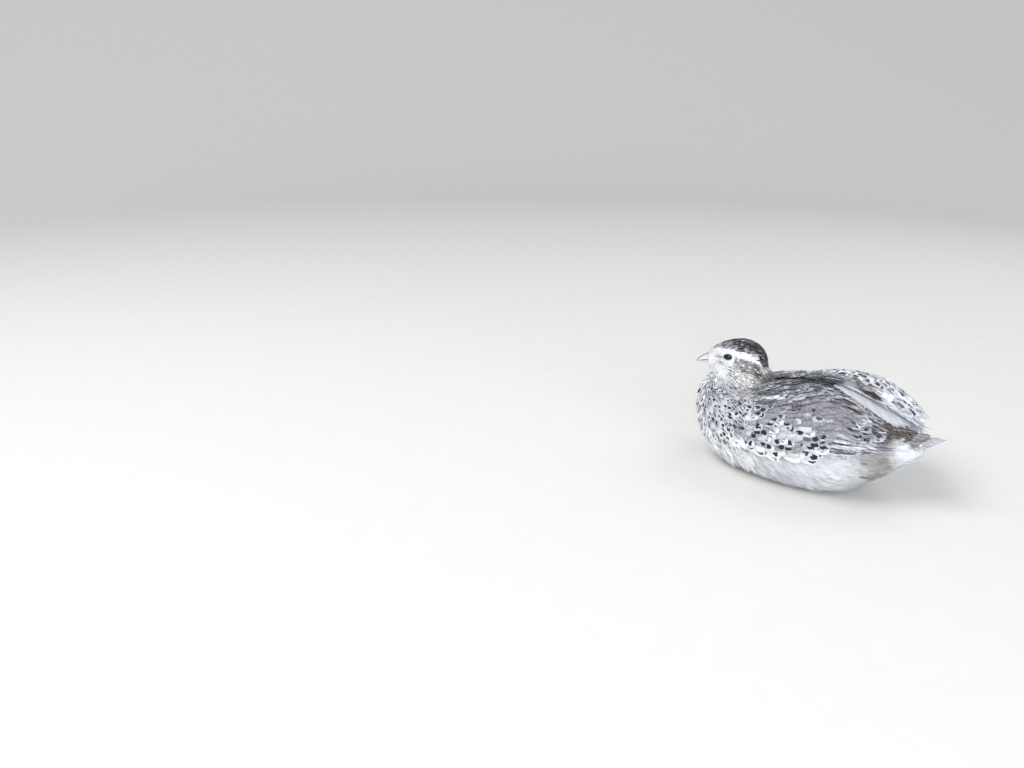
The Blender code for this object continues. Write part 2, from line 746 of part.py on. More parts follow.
def make_leg(name, side, torso, model):
    """Shank and toes folded flat under the belly, in a hollow of it, each claw a node of its own."""
    pieces = scratch_collection("leg_pieces")
    hollow = scratch_collection("hollow_pieces")
    spare = GAP / MM
    leg = new_object(name, side_limb(side, HOCK, FOOT, TARSUS_RADIUS, TARSUS_RADIUS), model)
    cutter = side_limb(side, HOCK, FOOT, TARSUS_RADIUS + spare, TARSUS_RADIUS + spare, HOLLOW_DROP)
    cut = new_object("leg_hollow", cutter, cutters())
    nodes = [leg]
    for number, tip in enumerate(TOE_TIPS, 1):
        new_object("toe", side_limb(side, FOOT, tip, TOE_RADIUS, TOE_END_RADIUS), pieces)
        along = (tip - FOOT).normalized()
        claw_root = tip + along * (TOE_END_RADIUS + spare)
        claw_tip = claw_root + along * CLAW_LENGTH
        reach = side_limb(side, FOOT, claw_tip, TOE_RADIUS + spare, TOE_END_RADIUS + spare, HOLLOW_DROP)
        new_object("toe_hollow", reach, hollow)
        nodes.append(make_claw(name.replace("leg", "claw") + f"_{number}", side, claw_root, along, model))
    join_all(leg, pieces)
    join_all(cut, hollow)
    cut_away(torso, cut)
    for node in nodes:
        flatten(node)
    return nodes


def make_claw(name, side, root, along, model):
    """A short claw, pointed and flattened a little."""
    shape = bmesh.new()
    bmesh.ops.create_cone(
        shape,
        cap_ends=True,
        segments=LIMB_SIDES,
        radius1=CLAW_RADIUS * MM,
        radius2=CLAW_TIP_RADIUS * MM,
        depth=CLAW_LENGTH * MM,
    )
    centre = on_side(root + along * CLAW_LENGTH / 2, side) * MM
    turn = on_side(along, side).to_track_quat("Z", "Y").to_matrix().to_4x4()
    shape.transform(Matrix.Translation(centre) @ turn)
    return new_object(name, shape, model)


def flatten(obj):
    """Cuts off whatever reaches below the floor, and lowers what ends just above it."""
    lowest = min(vert.co.z for vert in obj.data.vertices)
    obj.data.transform(Matrix.Translation((0.0, 0.0, -lowest - FLOOR_CUT)))
    shape = bmesh.new()
    shape.from_mesh(obj.data)
    geometry = shape.verts[:] + shape.edges[:] + shape.faces[:]
    up = Vector((0.0, 0.0, 1.0))
    bmesh.ops.bisect_plane(shape, geom=geometry, plane_co=(0.0, 0.0, 0.0), plane_no=up, clear_inner=True)
    rim = [edge for edge in shape.edges if edge.is_boundary]
    bmesh.ops.holes_fill(shape, edges=rim, sides=0)
    face_outwards(shape)
    shape.to_mesh(obj.data)
    shape.free()


def centre_on_floor(nodes):
    """Moves every node so that the origin lies under the middle of them all."""
    corners = [vert.co for node in nodes for vert in node.data.vertices]
    middle_x = (min(corner.x for corner in corners) + max(corner.x for corner in corners)) / 2
    middle_y = (min(corner.y for corner in corners) + max(corner.y for corner in corners)) / 2
    for node in nodes:
        node.data.transform(Matrix.Translation((-middle_x, -middle_y, 0.0)))


def main():
    """Builds the hen, dresses every node and sets her on the floor."""
    clear_scene()
    model = scratch_collection("coturnix_quail")
    flesh = make_flesh()
    around = grown_copy(flesh, "flesh_with_gap", GAP)
    plumage = material("pale_plumage", *PALE_PLUMAGE)
    spotted = material("spotted_plumage", *SPOTTED_PLUMAGE)
    horn = material("bill_horn", *BILL_HORN)
    skin = material("leg_skin", *LEG_SKIN)
    eye = material("dark_eye", *DARK_EYE)
    torso = make_torso(flesh, model)
    dress([torso, make_neck(flesh, model)], plumage)
    dress([make_head(flesh, model)], spotted)
    dress(make_bill(model), horn)
    for side, hand in ((1, "left"), (-1, "right")):
        dress([make_eye(f"eye_{hand}", side, model)], eye)
        dress([make_wing(f"wing_{hand}", side, around, model)], spotted)
        leg, *claws = make_leg(f"leg_{hand}", side, torso, model)
        dress([leg], skin)
        dress(claws, horn)
    dress([make_tail(around, model)], plumage)
    centre_on_floor(model.objects)


main()
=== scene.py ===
"""A coturnix quail hen at rest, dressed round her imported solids.

One skin lies under small feathers of solid mesh. Wings and tail carry vanes in tiers, and bill, eyes, lids,
feet and claws are pieces of their own. Sizes are millimetres unless a name says otherwise. The body's axes
have her left on +x, her tail on +y and the floor at z = 0. The head's start midway between its sides.
"""

from __future__ import annotations

import logging
import math
from collections.abc import Callable
from dataclasses import dataclass
from enum import Enum, IntEnum, auto

import bmesh
import bpy
import numpy as np
from mathutils import Matrix, Vector
from mathutils.bvhtree import BVHTree

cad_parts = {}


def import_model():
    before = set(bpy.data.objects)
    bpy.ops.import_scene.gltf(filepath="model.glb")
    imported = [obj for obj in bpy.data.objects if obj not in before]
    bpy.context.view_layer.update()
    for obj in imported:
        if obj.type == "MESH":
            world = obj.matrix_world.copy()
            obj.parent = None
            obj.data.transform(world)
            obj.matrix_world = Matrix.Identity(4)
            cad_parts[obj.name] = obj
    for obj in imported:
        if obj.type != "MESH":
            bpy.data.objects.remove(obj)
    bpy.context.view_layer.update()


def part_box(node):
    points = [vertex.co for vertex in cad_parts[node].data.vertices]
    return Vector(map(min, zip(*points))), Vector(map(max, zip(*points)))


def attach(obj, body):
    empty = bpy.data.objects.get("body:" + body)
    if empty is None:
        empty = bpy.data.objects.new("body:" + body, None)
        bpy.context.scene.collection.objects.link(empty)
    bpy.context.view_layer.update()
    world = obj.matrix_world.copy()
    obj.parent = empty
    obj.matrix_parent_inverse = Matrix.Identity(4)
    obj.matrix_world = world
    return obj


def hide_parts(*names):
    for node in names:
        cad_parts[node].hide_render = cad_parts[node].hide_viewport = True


LOG = logging.getLogger("quail")
MM = 0.001
BODY = "root"
BAKE_MAP = "OFBake"
BAKE_PATCH = 0.003
VANE_MAP = "Vane"
FULL_TURN = 2.0 * math.pi
# Lowest heights over the floor, of feathers and of soles.
FEATHER_FLOOR = 0.25
SOLE_FLOOR = 0.05
# How much a solid's copy grows, so that joined copies overlap.
OVERLAP = 0.3
SLIGHT_GROWTH = 0.02

Array = np.ndarray
Chance = np.random.Generator
Piece = bpy.types.Object
Mesh = bpy.types.Mesh
Form = bmesh.types.BMesh
Socket = bpy.types.NodeSocket
Colour = tuple[float, float, float]
Point = tuple[float, float, float]
Spot = tuple[float, float]


class Seed(IntEnum):
    """Where each piece's own unevenness starts."""

    SKIN = 11
    FACE = 21
    CROWN = 22
    NECK = 23
    BREAST = 24
    BACK = 25
    SIDE = 26
    REAR = 27
    SHOULDER = 28
    WING = 50
    TAIL = 61
    WING_TIER = 7
    WING_TIER_STEP = 100


class Slot(Enum):
    """The record's names for what may be coloured anew."""

    PALE = "pale_plumage"
    SPOTTED = "spotted_plumage"
    BILL = "bill_horn"
    EYE = "eye"
    LEG = "leg_skin"
    CLAW = "claw_horn"


# Helpers for numbers


def step_up(value: Array, low: float, high: float) -> Array:
    """A smooth step from 0 at low to 1 at high."""
    share = np.clip((value - low) / (high - low), 0.0, 1.0)
    return share * share * (3.0 - 2.0 * share)


def band(value: Array, low: float, high: float, soft: float) -> Array:
    """1 between low and high, fading to 0 over soft at both ends."""
    return step_up(value, low - soft, low + soft) * (1.0 - step_up(value, high - soft, high + soft))


def bump_at(first: Array, second: Array) -> Array:
    """A round bump of 1 where both places are 0, about 1 wide."""
    return np.exp(-(first**2) - second**2)


def unit(vectors: Array) -> Array:
    """Vectors at length 1."""
    return vectors / np.maximum(np.linalg.norm(vectors, axis=-1, keepdims=True), 1e-12)


def flatten_to(vectors: Array, normals: Array) -> Array:
    """Vectors with the part along the unit normals taken out."""
    return vectors - normals * np.sum(vectors * normals, axis=-1, keepdims=True)


def eased(stations: tuple[tuple[float, ...], ...], y: Array) -> Array:
    """Reads a table of stations on a smooth curve.

    Args:
        stations: One row a station, its place first and its values after.
        y: Places to read at.

    Returns:
        The values at each place, one row each.
    """
    table = np.array(stations, float)
    places, values = table[:, 0], table[:, 1:]
    last = len(places) - 1
    start = np.clip(np.searchsorted(places, y, side="right") - 1, 0, last - 1)
    end, before, after = start + 1, np.maximum(start - 1, 0), np.minimum(start + 2, last)
    span = (places[end] - places[start])[:, None]
    t = np.clip((y - places[start])[:, None] / span, 0.0, 1.0)
    leave = (values[end] - values[before]) / (places[end] - places[before])[:, None] * span
    arrive = (values[after] - values[start]) / (places[after] - places[start])[:, None] * span
    mixed = (2 * t**3 - 3 * t**2 + 1) * values[start] + (3 * t**2 - 2 * t**3) * values[end]
    return mixed + (t**3 - 2 * t**2 + t) * leave + (t**3 - t**2) * arrive


# Where the solids lie


@dataclass(frozen=True)
class Places:
    """The body's and the head's own axes in the frame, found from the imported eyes."""

    head_centre: Point = (4.2, -49.9, 73.5)
    head_turn_deg: float = 30.0
    head_nod_deg: float = -1.0
    eye_centre: Point = (6.4, -8.0, 1.0)
    eye_look: Point = (0.95, -0.25, 0.12)

    def head_axes(self) -> Matrix:
        """Turns the head's own axes in millimetres to the body's."""
        turn = Matrix.Rotation(math.radians(self.head_turn_deg), 4, "Z")
        nod = Matrix.Rotation(math.radians(self.head_nod_deg), 4, "X")
        return Matrix.Translation(self.head_centre) @ turn @ nod

    def shift(self) -> Array:
        """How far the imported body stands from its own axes."""
        corners = [corner for node in ("eye_left", "eye_right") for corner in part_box(node)]
        middle = sum(corners, Vector()) / len(corners)
        between = self.head_axes() @ Vector((0.0, *self.eye_centre[1:]))
        return np.array(middle - between * MM)

    def body(self, points: Array) -> Array:
        """Frame points as millimetres in the body's axes."""
        return (points - self.shift()) / MM

    def frame(self, points: Array) -> Array:
        """Millimetres in the body's axes as frame points."""
        return points * MM + self.shift()

    def head(self, points: Array) -> Array:
        """Frame points as millimetres in the head's axes."""
        turn = np.array(self.head_axes().inverted())
        return self.body(points) @ turn[:3, :3].T + turn[:3, 3]

    def from_head(self, points: Array) -> Array:
        """Millimetres in the head's axes as frame points."""
        turn = np.array(self.head_axes())
        return self.frame(points @ turn[:3, :3].T + turn[:3, 3])


# Colours and where they lie


class Paint(Enum):
    """The colours of the plumage, as linear light."""

    WHITE = (0.90, 0.93, 0.97)
    CREAM = (0.74, 0.71, 0.66)
    PALE_GREY = (0.56, 0.58, 0.64)
    LILAC_GREY = (0.31, 0.305, 0.345)
    MID_GREY = (0.19, 0.19, 0.215)
    SLATE = (0.065, 0.075, 0.10)
    DARK_SLATE = (0.016, 0.018, 0.026)
    BLACK_BROWN = (0.014, 0.010, 0.010)
    BROWN_GREY = (0.11, 0.088, 0.082)
    BEIGE = (0.28, 0.245, 0.225)
    SILVER = (0.56, 0.60, 0.67)


@dataclass
class Plumes:
    """What each of many feathers looks like: its ground, its marks and how strongly each mark shows."""

    ground: Array
    mark: Array
    marks: Array

    @classmethod
    def plain(cls, count: int, ground: Paint = Paint.WHITE, mark: Paint = Paint.DARK_SLATE) -> Plumes:
        """Feathers of one ground with no marks."""
        colours = (np.tile(np.array(paint.value), (count, 1)) for paint in (ground, mark))
        return cls(*colours, np.zeros((count, 4)))

    @classmethod
    def joined(cls, parts: list[Plumes]) -> Plumes:
        """Several lots of feathers as one."""
        names = ("ground", "mark", "marks")
        return cls(*(np.concatenate([getattr(part, name) for part in parts]) for name in names))

    def lay(
        self,
        where: Array | float,
        ground: Paint | None = None,
        mark: Paint | None = None,
        spot: float | None = None,
        wedge: float | None = None,
        bars: float | None = None,
        shaft: float | None = None,
    ) -> None:
        """Mixes a look in where a mask says."""
        mask = np.broadcast_to(np.asarray(where, float), len(self.ground))
        share = np.clip(mask, 0.0, 1.0)[:, None]
        for colours, paint in ((self.ground, ground), (self.mark, mark)):
            if paint is not None:
                colours += (np.array(paint.value) - colours) * share
        for column, weight in enumerate((spot, wedge, bars, shaft)):
            if weight is not None:
                self.marks[:, column] += (weight - self.marks[:, column]) * share[:, 0]


@dataclass(frozen=True)
class Markings:
    """Where the hen's colours lie on head and body, for the skin and for the feathers alike."""

    places: Places
    # How much less the head's borders stray, and how much feathers differ in shade.
    head_stray: float = 0.45
    shade_spread: float = 0.05
    shade_limit: float = 0.15
    # The white brow in the head's axes: distance behind the head's centre, height, half its width.
    brow: tuple[Point, ...] = (
        (-21.0, 1.2, 2.6), (-17.0, 2.5, 2.5), (-12.0, 3.9, 2.4), (-6.5, 4.8, 1.9), (-1.8, 3.7, 1.9),
        (5.2, 2.4, 1.9), (10.0, 0.7, 1.7), (13.2, -2.4, 1.5), (15.5, -7.0, 1.3),
    )

    def of(self, points: Array, chance: Chance, ragged: float = 0.8) -> Plumes:
        """The look of feathers rooted at points.

        Args:
            points: Roots in the frame.
            chance: Its seeded chance.
            ragged: How far the borders between colours stray, in millimetres.

        Returns:
            The look of each feather.
        """
        body = self.places.body(points) + chance.normal(0.0, ragged, points.shape)
        head = self.places.head(points) + chance.normal(0.0, ragged * self.head_stray, points.shape)
        looks = Plumes.plain(len(points))
        self.lay_body(looks, body, chance)
        self.lay_neck(looks, body, head, chance)
        self.lay_head(looks, body, head, chance)
        shade = chance.normal(1.0, self.shade_spread, (len(points), 1))
        looks.ground *= np.clip(shade, 1.0 - self.shade_limit, 1.0 + self.shade_limit)
        return looks

    def lay_body(self, looks: Plumes, at: Array, chance: Chance) -> None:
        """Lays the colours of breast, shoulders, back, rump and vent.

        Args:
            looks: The feathers' looks, which it changes.
            at: Their places in the body's axes.
            chance: Its seeded chance.
        """
        lay = looks.lay
        side, y, z = np.abs(at[:, 0]), at[:, 1], at[:, 2]
        some, other = chance.random(len(at)), chance.random(len(at))
        front = 1.0 - step_up(y, -36.0, -26.0)
        breast = front * step_up(z, 10.0, 22.0)
        thick = step_up(z, 14.0, 42.0)
        lay(breast, mark=Paint.DARK_SLATE, shaft=0.3)
        lay(breast * (some < 0.16 + 0.54 * thick), spot=1.0)
        lay(breast * thick * (other > 0.60), Paint.PALE_GREY, shaft=1.0)
        streaked = front * step_up(z, 38.0, 50.0)
        lay(streaked * (other < 0.3), Paint.WHITE, Paint.BLACK_BROWN, wedge=1.0, spot=0.0, shaft=1.0)
        shoulder = band(y, -60.0, -20.0, 3.0) * step_up(side, 17.0, 26.0) * step_up(z, 28.0, 38.0)
        lay(shoulder, Paint.PALE_GREY, Paint.DARK_SLATE, wedge=0.0, shaft=0.8)
        lay(shoulder * (some < 0.55), spot=1.0)
        lay(shoulder * (some > 0.78), Paint.LILAC_GREY, wedge=0.8, spot=0.0, shaft=1.0)
        top = step_up(z, 50.0, 56.0) * (1.0 - step_up(side, 20.0, 28.0)) * step_up(y, -44.0, -36.0)
        mantle = top * (1.0 - step_up(y, 2.0, 8.0))
        lay(mantle, Paint.SLATE, Paint.BLACK_BROWN, spot=0.0, wedge=0.7, bars=0.5, shaft=0.1)
        lay(mantle * (some < 0.35), Paint.MID_GREY, shaft=1.0)
        back = top * step_up(y, 2.0, 8.0)
        lay(back, Paint.BROWN_GREY, Paint.BLACK_BROWN, spot=0.0, wedge=0.9, bars=0.5, shaft=0.1)
        lay(back * (some < 0.3), Paint.MID_GREY, shaft=1.0)
        rump = step_up(y, 38.0, 46.0) * step_up(z, 40.0, 44.0)
        lay(rump, Paint.BROWN_GREY, Paint.BLACK_BROWN, spot=0.0, wedge=0.3, bars=0.5, shaft=0.2)
        vent = step_up(y, 34.0, 54.0) * band(z, 12.0, 40.0, 6.0) * step_up(side, 8.0, 16.0)
        lay(vent * (0.6 + 0.3 * some), Paint.BEIGE, spot=0.0, shaft=0.0)
        under_tail = step_up(y, 57.0, 62.0) * (1.0 - step_up(z, 42.0, 45.0))
        lay(under_tail * 0.85, Paint.WHITE)

    def lay_neck(self, looks: Plumes, body: Array, head: Array, chance: Chance) -> None:
        """Lays the streaks of the neck, darkest behind.

        Args:
            looks: The feathers' looks, which it changes.
            body: Their places in the body's axes.
            head: Their places in the head's axes.
            chance: Its seeded chance.
        """
        lay = looks.lay
        some = chance.random(len(body))
        neck = step_up(body[:, 2], 52.0, 57.0) * (1.0 - step_up(body[:, 1], -32.0, -27.0))
        sides = neck * step_up(head[:, 1], -10.0, -5.0)
        lay(sides, Paint.CREAM, Paint.DARK_SLATE, spot=0.7, wedge=0.0, bars=0.0, shaft=0.4)
        lay(sides * (some < 0.5), Paint.PALE_GREY, Paint.BLACK_BROWN, wedge=1.0, spot=0.0, shaft=1.0)
        lay(sides * (some > 0.8), Paint.MID_GREY, shaft=1.0)
        behind = neck * step_up(head[:, 1], 4.0, 9.0)
        lay(behind, Paint.BROWN_GREY, Paint.BLACK_BROWN, wedge=1.0, shaft=0.9)
        lay(behind * (some > 0.8), Paint.CREAM)

    def lay_head(self, looks: Plumes, body: Array, head: Array, chance: Chance) -> None:
        """Lays face, throat and brow, and leads on to ear patch and crown.

        Args:
            looks: The feathers' looks, which it changes.
            body: Their places in the body's axes.
            head: Their places in the head's axes.
            chance: Its seeded chance.
        """
        lay = looks.lay
        y, z = head[:, 1], head[:, 2]
        some, other = chance.random(len(head)), chance.random(len(head))
        here = step_up(z, -15.5, -13.5) * (1.0 - step_up(body[:, 1], -32.0, -28.0))
        line, half = eased(self.brow, y).T
        over = z - line
        lay(here, Paint.WHITE, Paint.SLATE, spot=0.0, wedge=0.0, bars=0.0, shaft=0.0)
        lay(here * (other < 0.10), Paint.PALE_GREY)
        below = here * step_up(-over - half, -0.2, 0.7)
        cheek = below * step_up(y, -11.0, -2.0) * step_up(-z, 2.0, 5.0)
        lay(cheek * (some < 0.6), Paint.CREAM, Paint.MID_GREY, spot=0.7)
        lay(cheek * (some > 0.84), Paint.LILAC_GREY, Paint.SLATE, spot=0.9)
        ear = below * band(y, -3.6, 12.0, 1.2) * (1.0 - step_up(-z - 0.35 * np.maximum(y, 0.0), 2.6, 7.5))
        lay(ear * 1.3, Paint.LILAC_GREY, Paint.SLATE, spot=0.5)
        lay(ear * 1.3 * (some < 0.22), Paint.MID_GREY, Paint.DARK_SLATE)
        lay(ear * (some > 0.66), Paint.CREAM, Paint.MID_GREY)
        fleck = bump_at((y + 5.0) / 1.8, (z + 7.8) / 2.6) + bump_at((y - 2.6) / 2.4, (z + 7.0) / 2.0)
        lay(here * fleck * 1.4 * (other < 0.35), Paint.SLATE, Paint.DARK_SLATE, spot=1.0)
        nearer = below * step_up(y, 7.0, 11.0)
        lay(nearer * (other < 0.45), Paint.BROWN_GREY, Paint.BLACK_BROWN, spot=1.0)
        lore = here * bump_at((y + 14.0) / 2.8, (z - 0.3) / 0.9)
        lay(lore * 1.2, Paint.LILAC_GREY)
        malar = here * bump_at((y + 12.6) / 3.0, (z + 3.6 + 0.25 * (y + 12.6)) / 1.4)
        lay(malar * (0.5 + 0.5 * some), Paint.MID_GREY, Paint.SLATE, spot=0.5)
        warm = here * band(y, -23.0, -13.0, 1.5) * band(z, 1.4, 4.6, 0.8)
        lay(warm * 0.9, Paint.CREAM)
        crown = here * step_up(over - half, -0.5, 0.3) * step_up(y, -20.0, -16.0)
        dense = step_up(y, -15.0, -8.0)
        lay(crown, Paint.PALE_GREY)
        crown = crown * (chance.random(len(head)) < 0.42 + 0.56 * dense)
        lay(crown, Paint.SLATE, Paint.BLACK_BROWN, wedge=0.8)
        lay(crown * (some > 0.62), Paint.LILAC_GREY)
        lay(crown * (other < 0.38), Paint.BLACK_BROWN)
        low = crown * (1.0 - step_up(over - half, 1.2, 3.4)) * dense
        lay(low * (other > 0.35), Paint.LILAC_GREY, Paint.SLATE, wedge=0.6)
        lay(low * (some > 0.85), Paint.PALE_GREY)
        nape = here * step_up(y, 6.0, 12.0) * step_up(over - half, 0.0, 1.5)
        lay(nape * (some < 0.85), Paint.BLACK_BROWN, Paint.BLACK_BROWN, wedge=0.8, shaft=0.0)
        lay(nape * (other < 0.3), Paint.BROWN_GREY)
        hind = here * step_up(y, 10.0, 13.0) * (1.0 - step_up(over + half, -1.0, 0.2))
        lay(hind, Paint.BROWN_GREY, Paint.BLACK_BROWN, spot=0.8, wedge=0.6)
        lay(hind * (some < 0.28), Paint.CREAM)


# Shader graphs


@dataclass(frozen=True)
class Signal:
    """One output of a shader graph, for plain arithmetic."""

    graph: Graph
    socket: Socket

    def __add__(self, other: Signal | float) -> Signal:
        """The sum."""
        return self.graph.maths("ADD", self, other)

    def __sub__(self, other: Signal | float) -> Signal:
        """The difference."""
        return self.graph.maths("SUBTRACT", self, other)

    def __mul__(self, other: Signal | float) -> Signal:
        """The product."""
        return self.graph.maths("MULTIPLY", self, other)

    def __truediv__(self, other: Signal | float) -> Signal:
        """The quotient."""
        return self.graph.maths("DIVIDE", self, other)

    def __or__(self, other: Signal | float) -> Signal:
        """The larger of the two, which joins masks."""
        return self.graph.maths("MAXIMUM", self, other)


@dataclass(frozen=True)
class Graph:
    """Adds nodes to a tree and links them. Inputs are given by name or place."""

    tree: bpy.types.NodeTree

    def feed(self, socket: Socket, value: object) -> None:
        """Links a signal into a socket, or sets a plain value on it."""
        if isinstance(value, Signal):
            self.tree.links.new(value.socket, socket)
        else:
            socket.default_value = value

    def outputs(self, kind: str, inputs: dict, **settings: object) -> list[Signal]:
        """Adds a node and gives its outputs."""
        node = self.tree.nodes.new(kind)
        for name, value in settings.items():
            setattr(node, name, value)
        for name, value in inputs.items():
            self.feed(node.inputs[name], value)
        return [Signal(self, socket) for socket in node.outputs]

    def signal(self, kind: str, inputs: dict, **settings: object) -> Signal:
        """Adds a node and gives its first output."""
        return self.outputs(kind, inputs, **settings)[0]

    def maths(self, operation: str, *values: Signal | float) -> Signal:
        """A Math node's result."""
        return self.signal("ShaderNodeMath", dict(enumerate(values)), operation=operation)

    def wave(self, turns: Signal) -> Signal:
        """A sine wave that comes round once a turn."""
        return self.maths("SINE", turns * FULL_TURN)

    def mix(self, share: object, first: object, second: object, blend: str = "MIX") -> Signal:
        """Two colours mixed, with as much of the second as the share says."""
        settings = {"data_type": "RGBA", "blend_type": blend, "clamp_factor": True}
        return self.outputs("ShaderNodeMix", {0: share, 6: first, 7: second}, **settings)[2]

    def step(self, value: Signal, low: float, high: float) -> Signal:
        """A smooth step from 0 at low to 1 at high, which falls where low is the larger."""
        inputs = (value, high, low, 1.0, 0.0) if low > high else (value, low, high, 0.0, 1.0)
        return self.signal("ShaderNodeMapRange", dict(enumerate(inputs)), interpolation_type="SMOOTHSTEP")

    def noise(self, where: Signal, scale: float, detail: float = 2.0, rough: float = 0.5) -> Signal:
        """Noise about 0.5 at the given places, with finer layers as rough as stated."""
        inputs = {"Vector": where, "Scale": scale, "Detail": detail, "Roughness": rough}
        return self.signal("ShaderNodeTexNoise", inputs)

    def bump(self, height: Signal, strength: float, distance: float) -> Signal:
        """The normal of a bump, its distance in metres."""
        return self.signal("ShaderNodeBump", {"Strength": strength, "Distance": distance, "Height": height})

    def attribute(self, name: str) -> tuple[Signal, Signal]:
        """What the mesh stores under a name, as a colour and as a number."""
        colour, _, number, _ = self.outputs("ShaderNodeAttribute", {}, attribute_name=name)
        return colour, number

    def object_places(self) -> Signal:
        """The piece's own coordinates."""
        return self.outputs("ShaderNodeTexCoord", {})[3]


FLOAT, VECTOR = "NodeSocketFloat", "NodeSocketVector"


def node_group(name: str, inputs: dict[str, str], outputs: tuple[str, ...]) -> tuple[Graph, dict, dict]:
    """An empty shader node group with named sockets.

    Args:
        name: The group's name.
        inputs: Socket types by name.
        outputs: The names of the numbers that it puts out.

    Returns:
        Its graph, what its inputs give, and where its outputs are fed.
    """
    tree = bpy.data.node_groups.new(name, "ShaderNodeTree")
    for label, kind in inputs.items():
        tree.interface.new_socket(label, in_out="INPUT", socket_type=kind)
    for label in outputs:
        tree.interface.new_socket(label, in_out="OUTPUT", socket_type=FLOAT)
    graph = Graph(tree)
    source, target = tree.nodes.new("NodeGroupInput"), tree.nodes.new("NodeGroupOutput")
    given = {label: Signal(graph, source.outputs[label]) for label in inputs}
    return graph, given, {label: target.inputs[label] for label in outputs}


# How the rough noise is stretched over a feather, and where each feather's chance takes it.
ROUGH_STRETCH = (3.0, 4.0, 1.0)
ROUGH_SEEDS = (37.0, 91.0, 13.0)


def on_vane(graph: Graph, where: Signal) -> tuple[Signal, Signal, Signal]:
    """A feather's own places."""
    side, along, _ = graph.outputs("ShaderNodeSeparateXYZ", {0: where})
    across = side * 2.0 - 1.0
    return across, graph.maths("ABSOLUTE", across), along


def own_noise(graph: Graph, where: Signal, chance: Signal) -> Signal:
    """Noise that no two feathers share."""
    apart = {place: chance * scale for place, scale in enumerate(ROUGH_SEEDS)}
    inputs = {0: where, 1: ROUGH_STRETCH, 2: graph.signal("ShaderNodeCombineXYZ", apart)}
    return graph.noise(graph.signal("ShaderNodeVectorMath", inputs, operation="MULTIPLY_ADD"), 2.2) - 0.5


def vane_marks() -> bpy.types.NodeTree:
    """Spots, wedges, bars and the pale shaft and rim of a feather.

    Returns:
        The group, which is built on the first call.
    """
    found = bpy.data.node_groups.get("Feather marks")
    if found:
        return found
    inputs = {"Place": VECTOR} | dict.fromkeys(("Chance", "Spot", "Wedge", "Bars", "Shaft"), FLOAT)
    graph, given, wanted = node_group("Feather marks", inputs, ("Mark", "Streak"))
    step, chance = graph.step, given["Chance"]
    across, aside, along = on_vane(graph, given["Place"])
    rough = own_noise(graph, given["Place"], chance)
    # A drop, wider towards the tip, at its own height and length on each feather.
    tall = graph.maths("FRACT", chance * 7.0) * 0.14 + 0.13
    rise = (along - (chance * 0.10 + 0.70)) / tall
    wide = across / (rise * 0.30 + 0.60)
    spot = step(rough * 1.7 + graph.maths("SQRT", rise * rise + wide * wide), 1.05, 0.8)
    # A dark wedge on each side of the shaft, which opens towards the tip and stops short of the rim.
    opening = (along - 0.42) * 1.9 + 0.1
    wedge = step(opening - (rough * 0.5 + aside), 0.0, 0.12) * step(rough * 0.25 + along, 0.84, 0.78)
    wedge = wedge * step(aside, 0.07, 0.15) * step(aside, 0.92, 0.8)
    # Five cross bars that lean back from the shaft.
    bars = step(rough * 2.2 + graph.wave(along * 5.0 + aside * -0.9 + chance), 0.1, 0.7)
    drawn = spot * given["Spot"] | wedge * given["Wedge"] | bars * given["Bars"]
    graph.feed(wanted["Mark"], drawn)
    # A pale line along the shaft, and a worn pale rim round the outer half of a spotted feather.
    streak = step(along * -0.07 + 0.13 - aside, 0.0, 0.05)
    rim = (step(rough * 0.25 + aside, 0.70, 0.84) | step(along, 0.90, 0.95)) * step(along, 0.35, 0.55)
    rim = rim * step(rough, -0.12, 0.05) * given["Spot"]
    graph.feed(wanted["Streak"], (streak | rim * 0.7) * given["Shaft"])
    return graph.tree


def vane_barbs() -> bpy.types.NodeTree:
    """The fine slanting lines of a feather's barbs, as a height and a shade.

    Returns:
        The group, which is built on the first call.
    """
    found = bpy.data.node_groups.get("Feather barbs")
    if found:
        return found
    inputs = {"Place": VECTOR} | dict.fromkeys(("Chance", "Count", "Slant"), FLOAT)
    graph, given, wanted = node_group("Feather barbs", inputs, ("Height", "Shade"))
    place = given["Place"]
    _, aside, along = on_vane(graph, place)
    lines = (along - aside * given["Slant"]) * given["Count"]
    wave = graph.wave(graph.noise(place, 7.0, 1.0) * 1.4 + lines)
    graph.feed(wanted["Height"], wave * 0.5 + graph.step(aside, 0.10, 0.02) * 1.5)
    parted = graph.step(graph.noise(place, 4.5, 3.0), 0.60, 0.70)
    graph.feed(wanted["Shade"], (wave * 0.06 + 0.94) * (parted * -0.16 + 1.0))
    return graph.tree


@dataclass(frozen=True)
class Finish:
    """A finish that is built once and then shared."""

    name: str

    def material(self) -> bpy.types.Material:
        """The finish as a material."""
        made = bpy.data.materials.get(self.name)
        if made is None:
            made = bpy.data.materials.new(self.name)
            made.use_nodes = True
            graph, shader = Graph(made.node_tree), made.node_tree.nodes["Principled BSDF"]
            for name, value in self.draw(graph).items():
                graph.feed(shader.inputs[name], value)
        return made

    def draw(self, graph: Graph) -> dict[str, object]:
        """What the shader's inputs get, each finish in its own way."""
        raise NotImplementedError


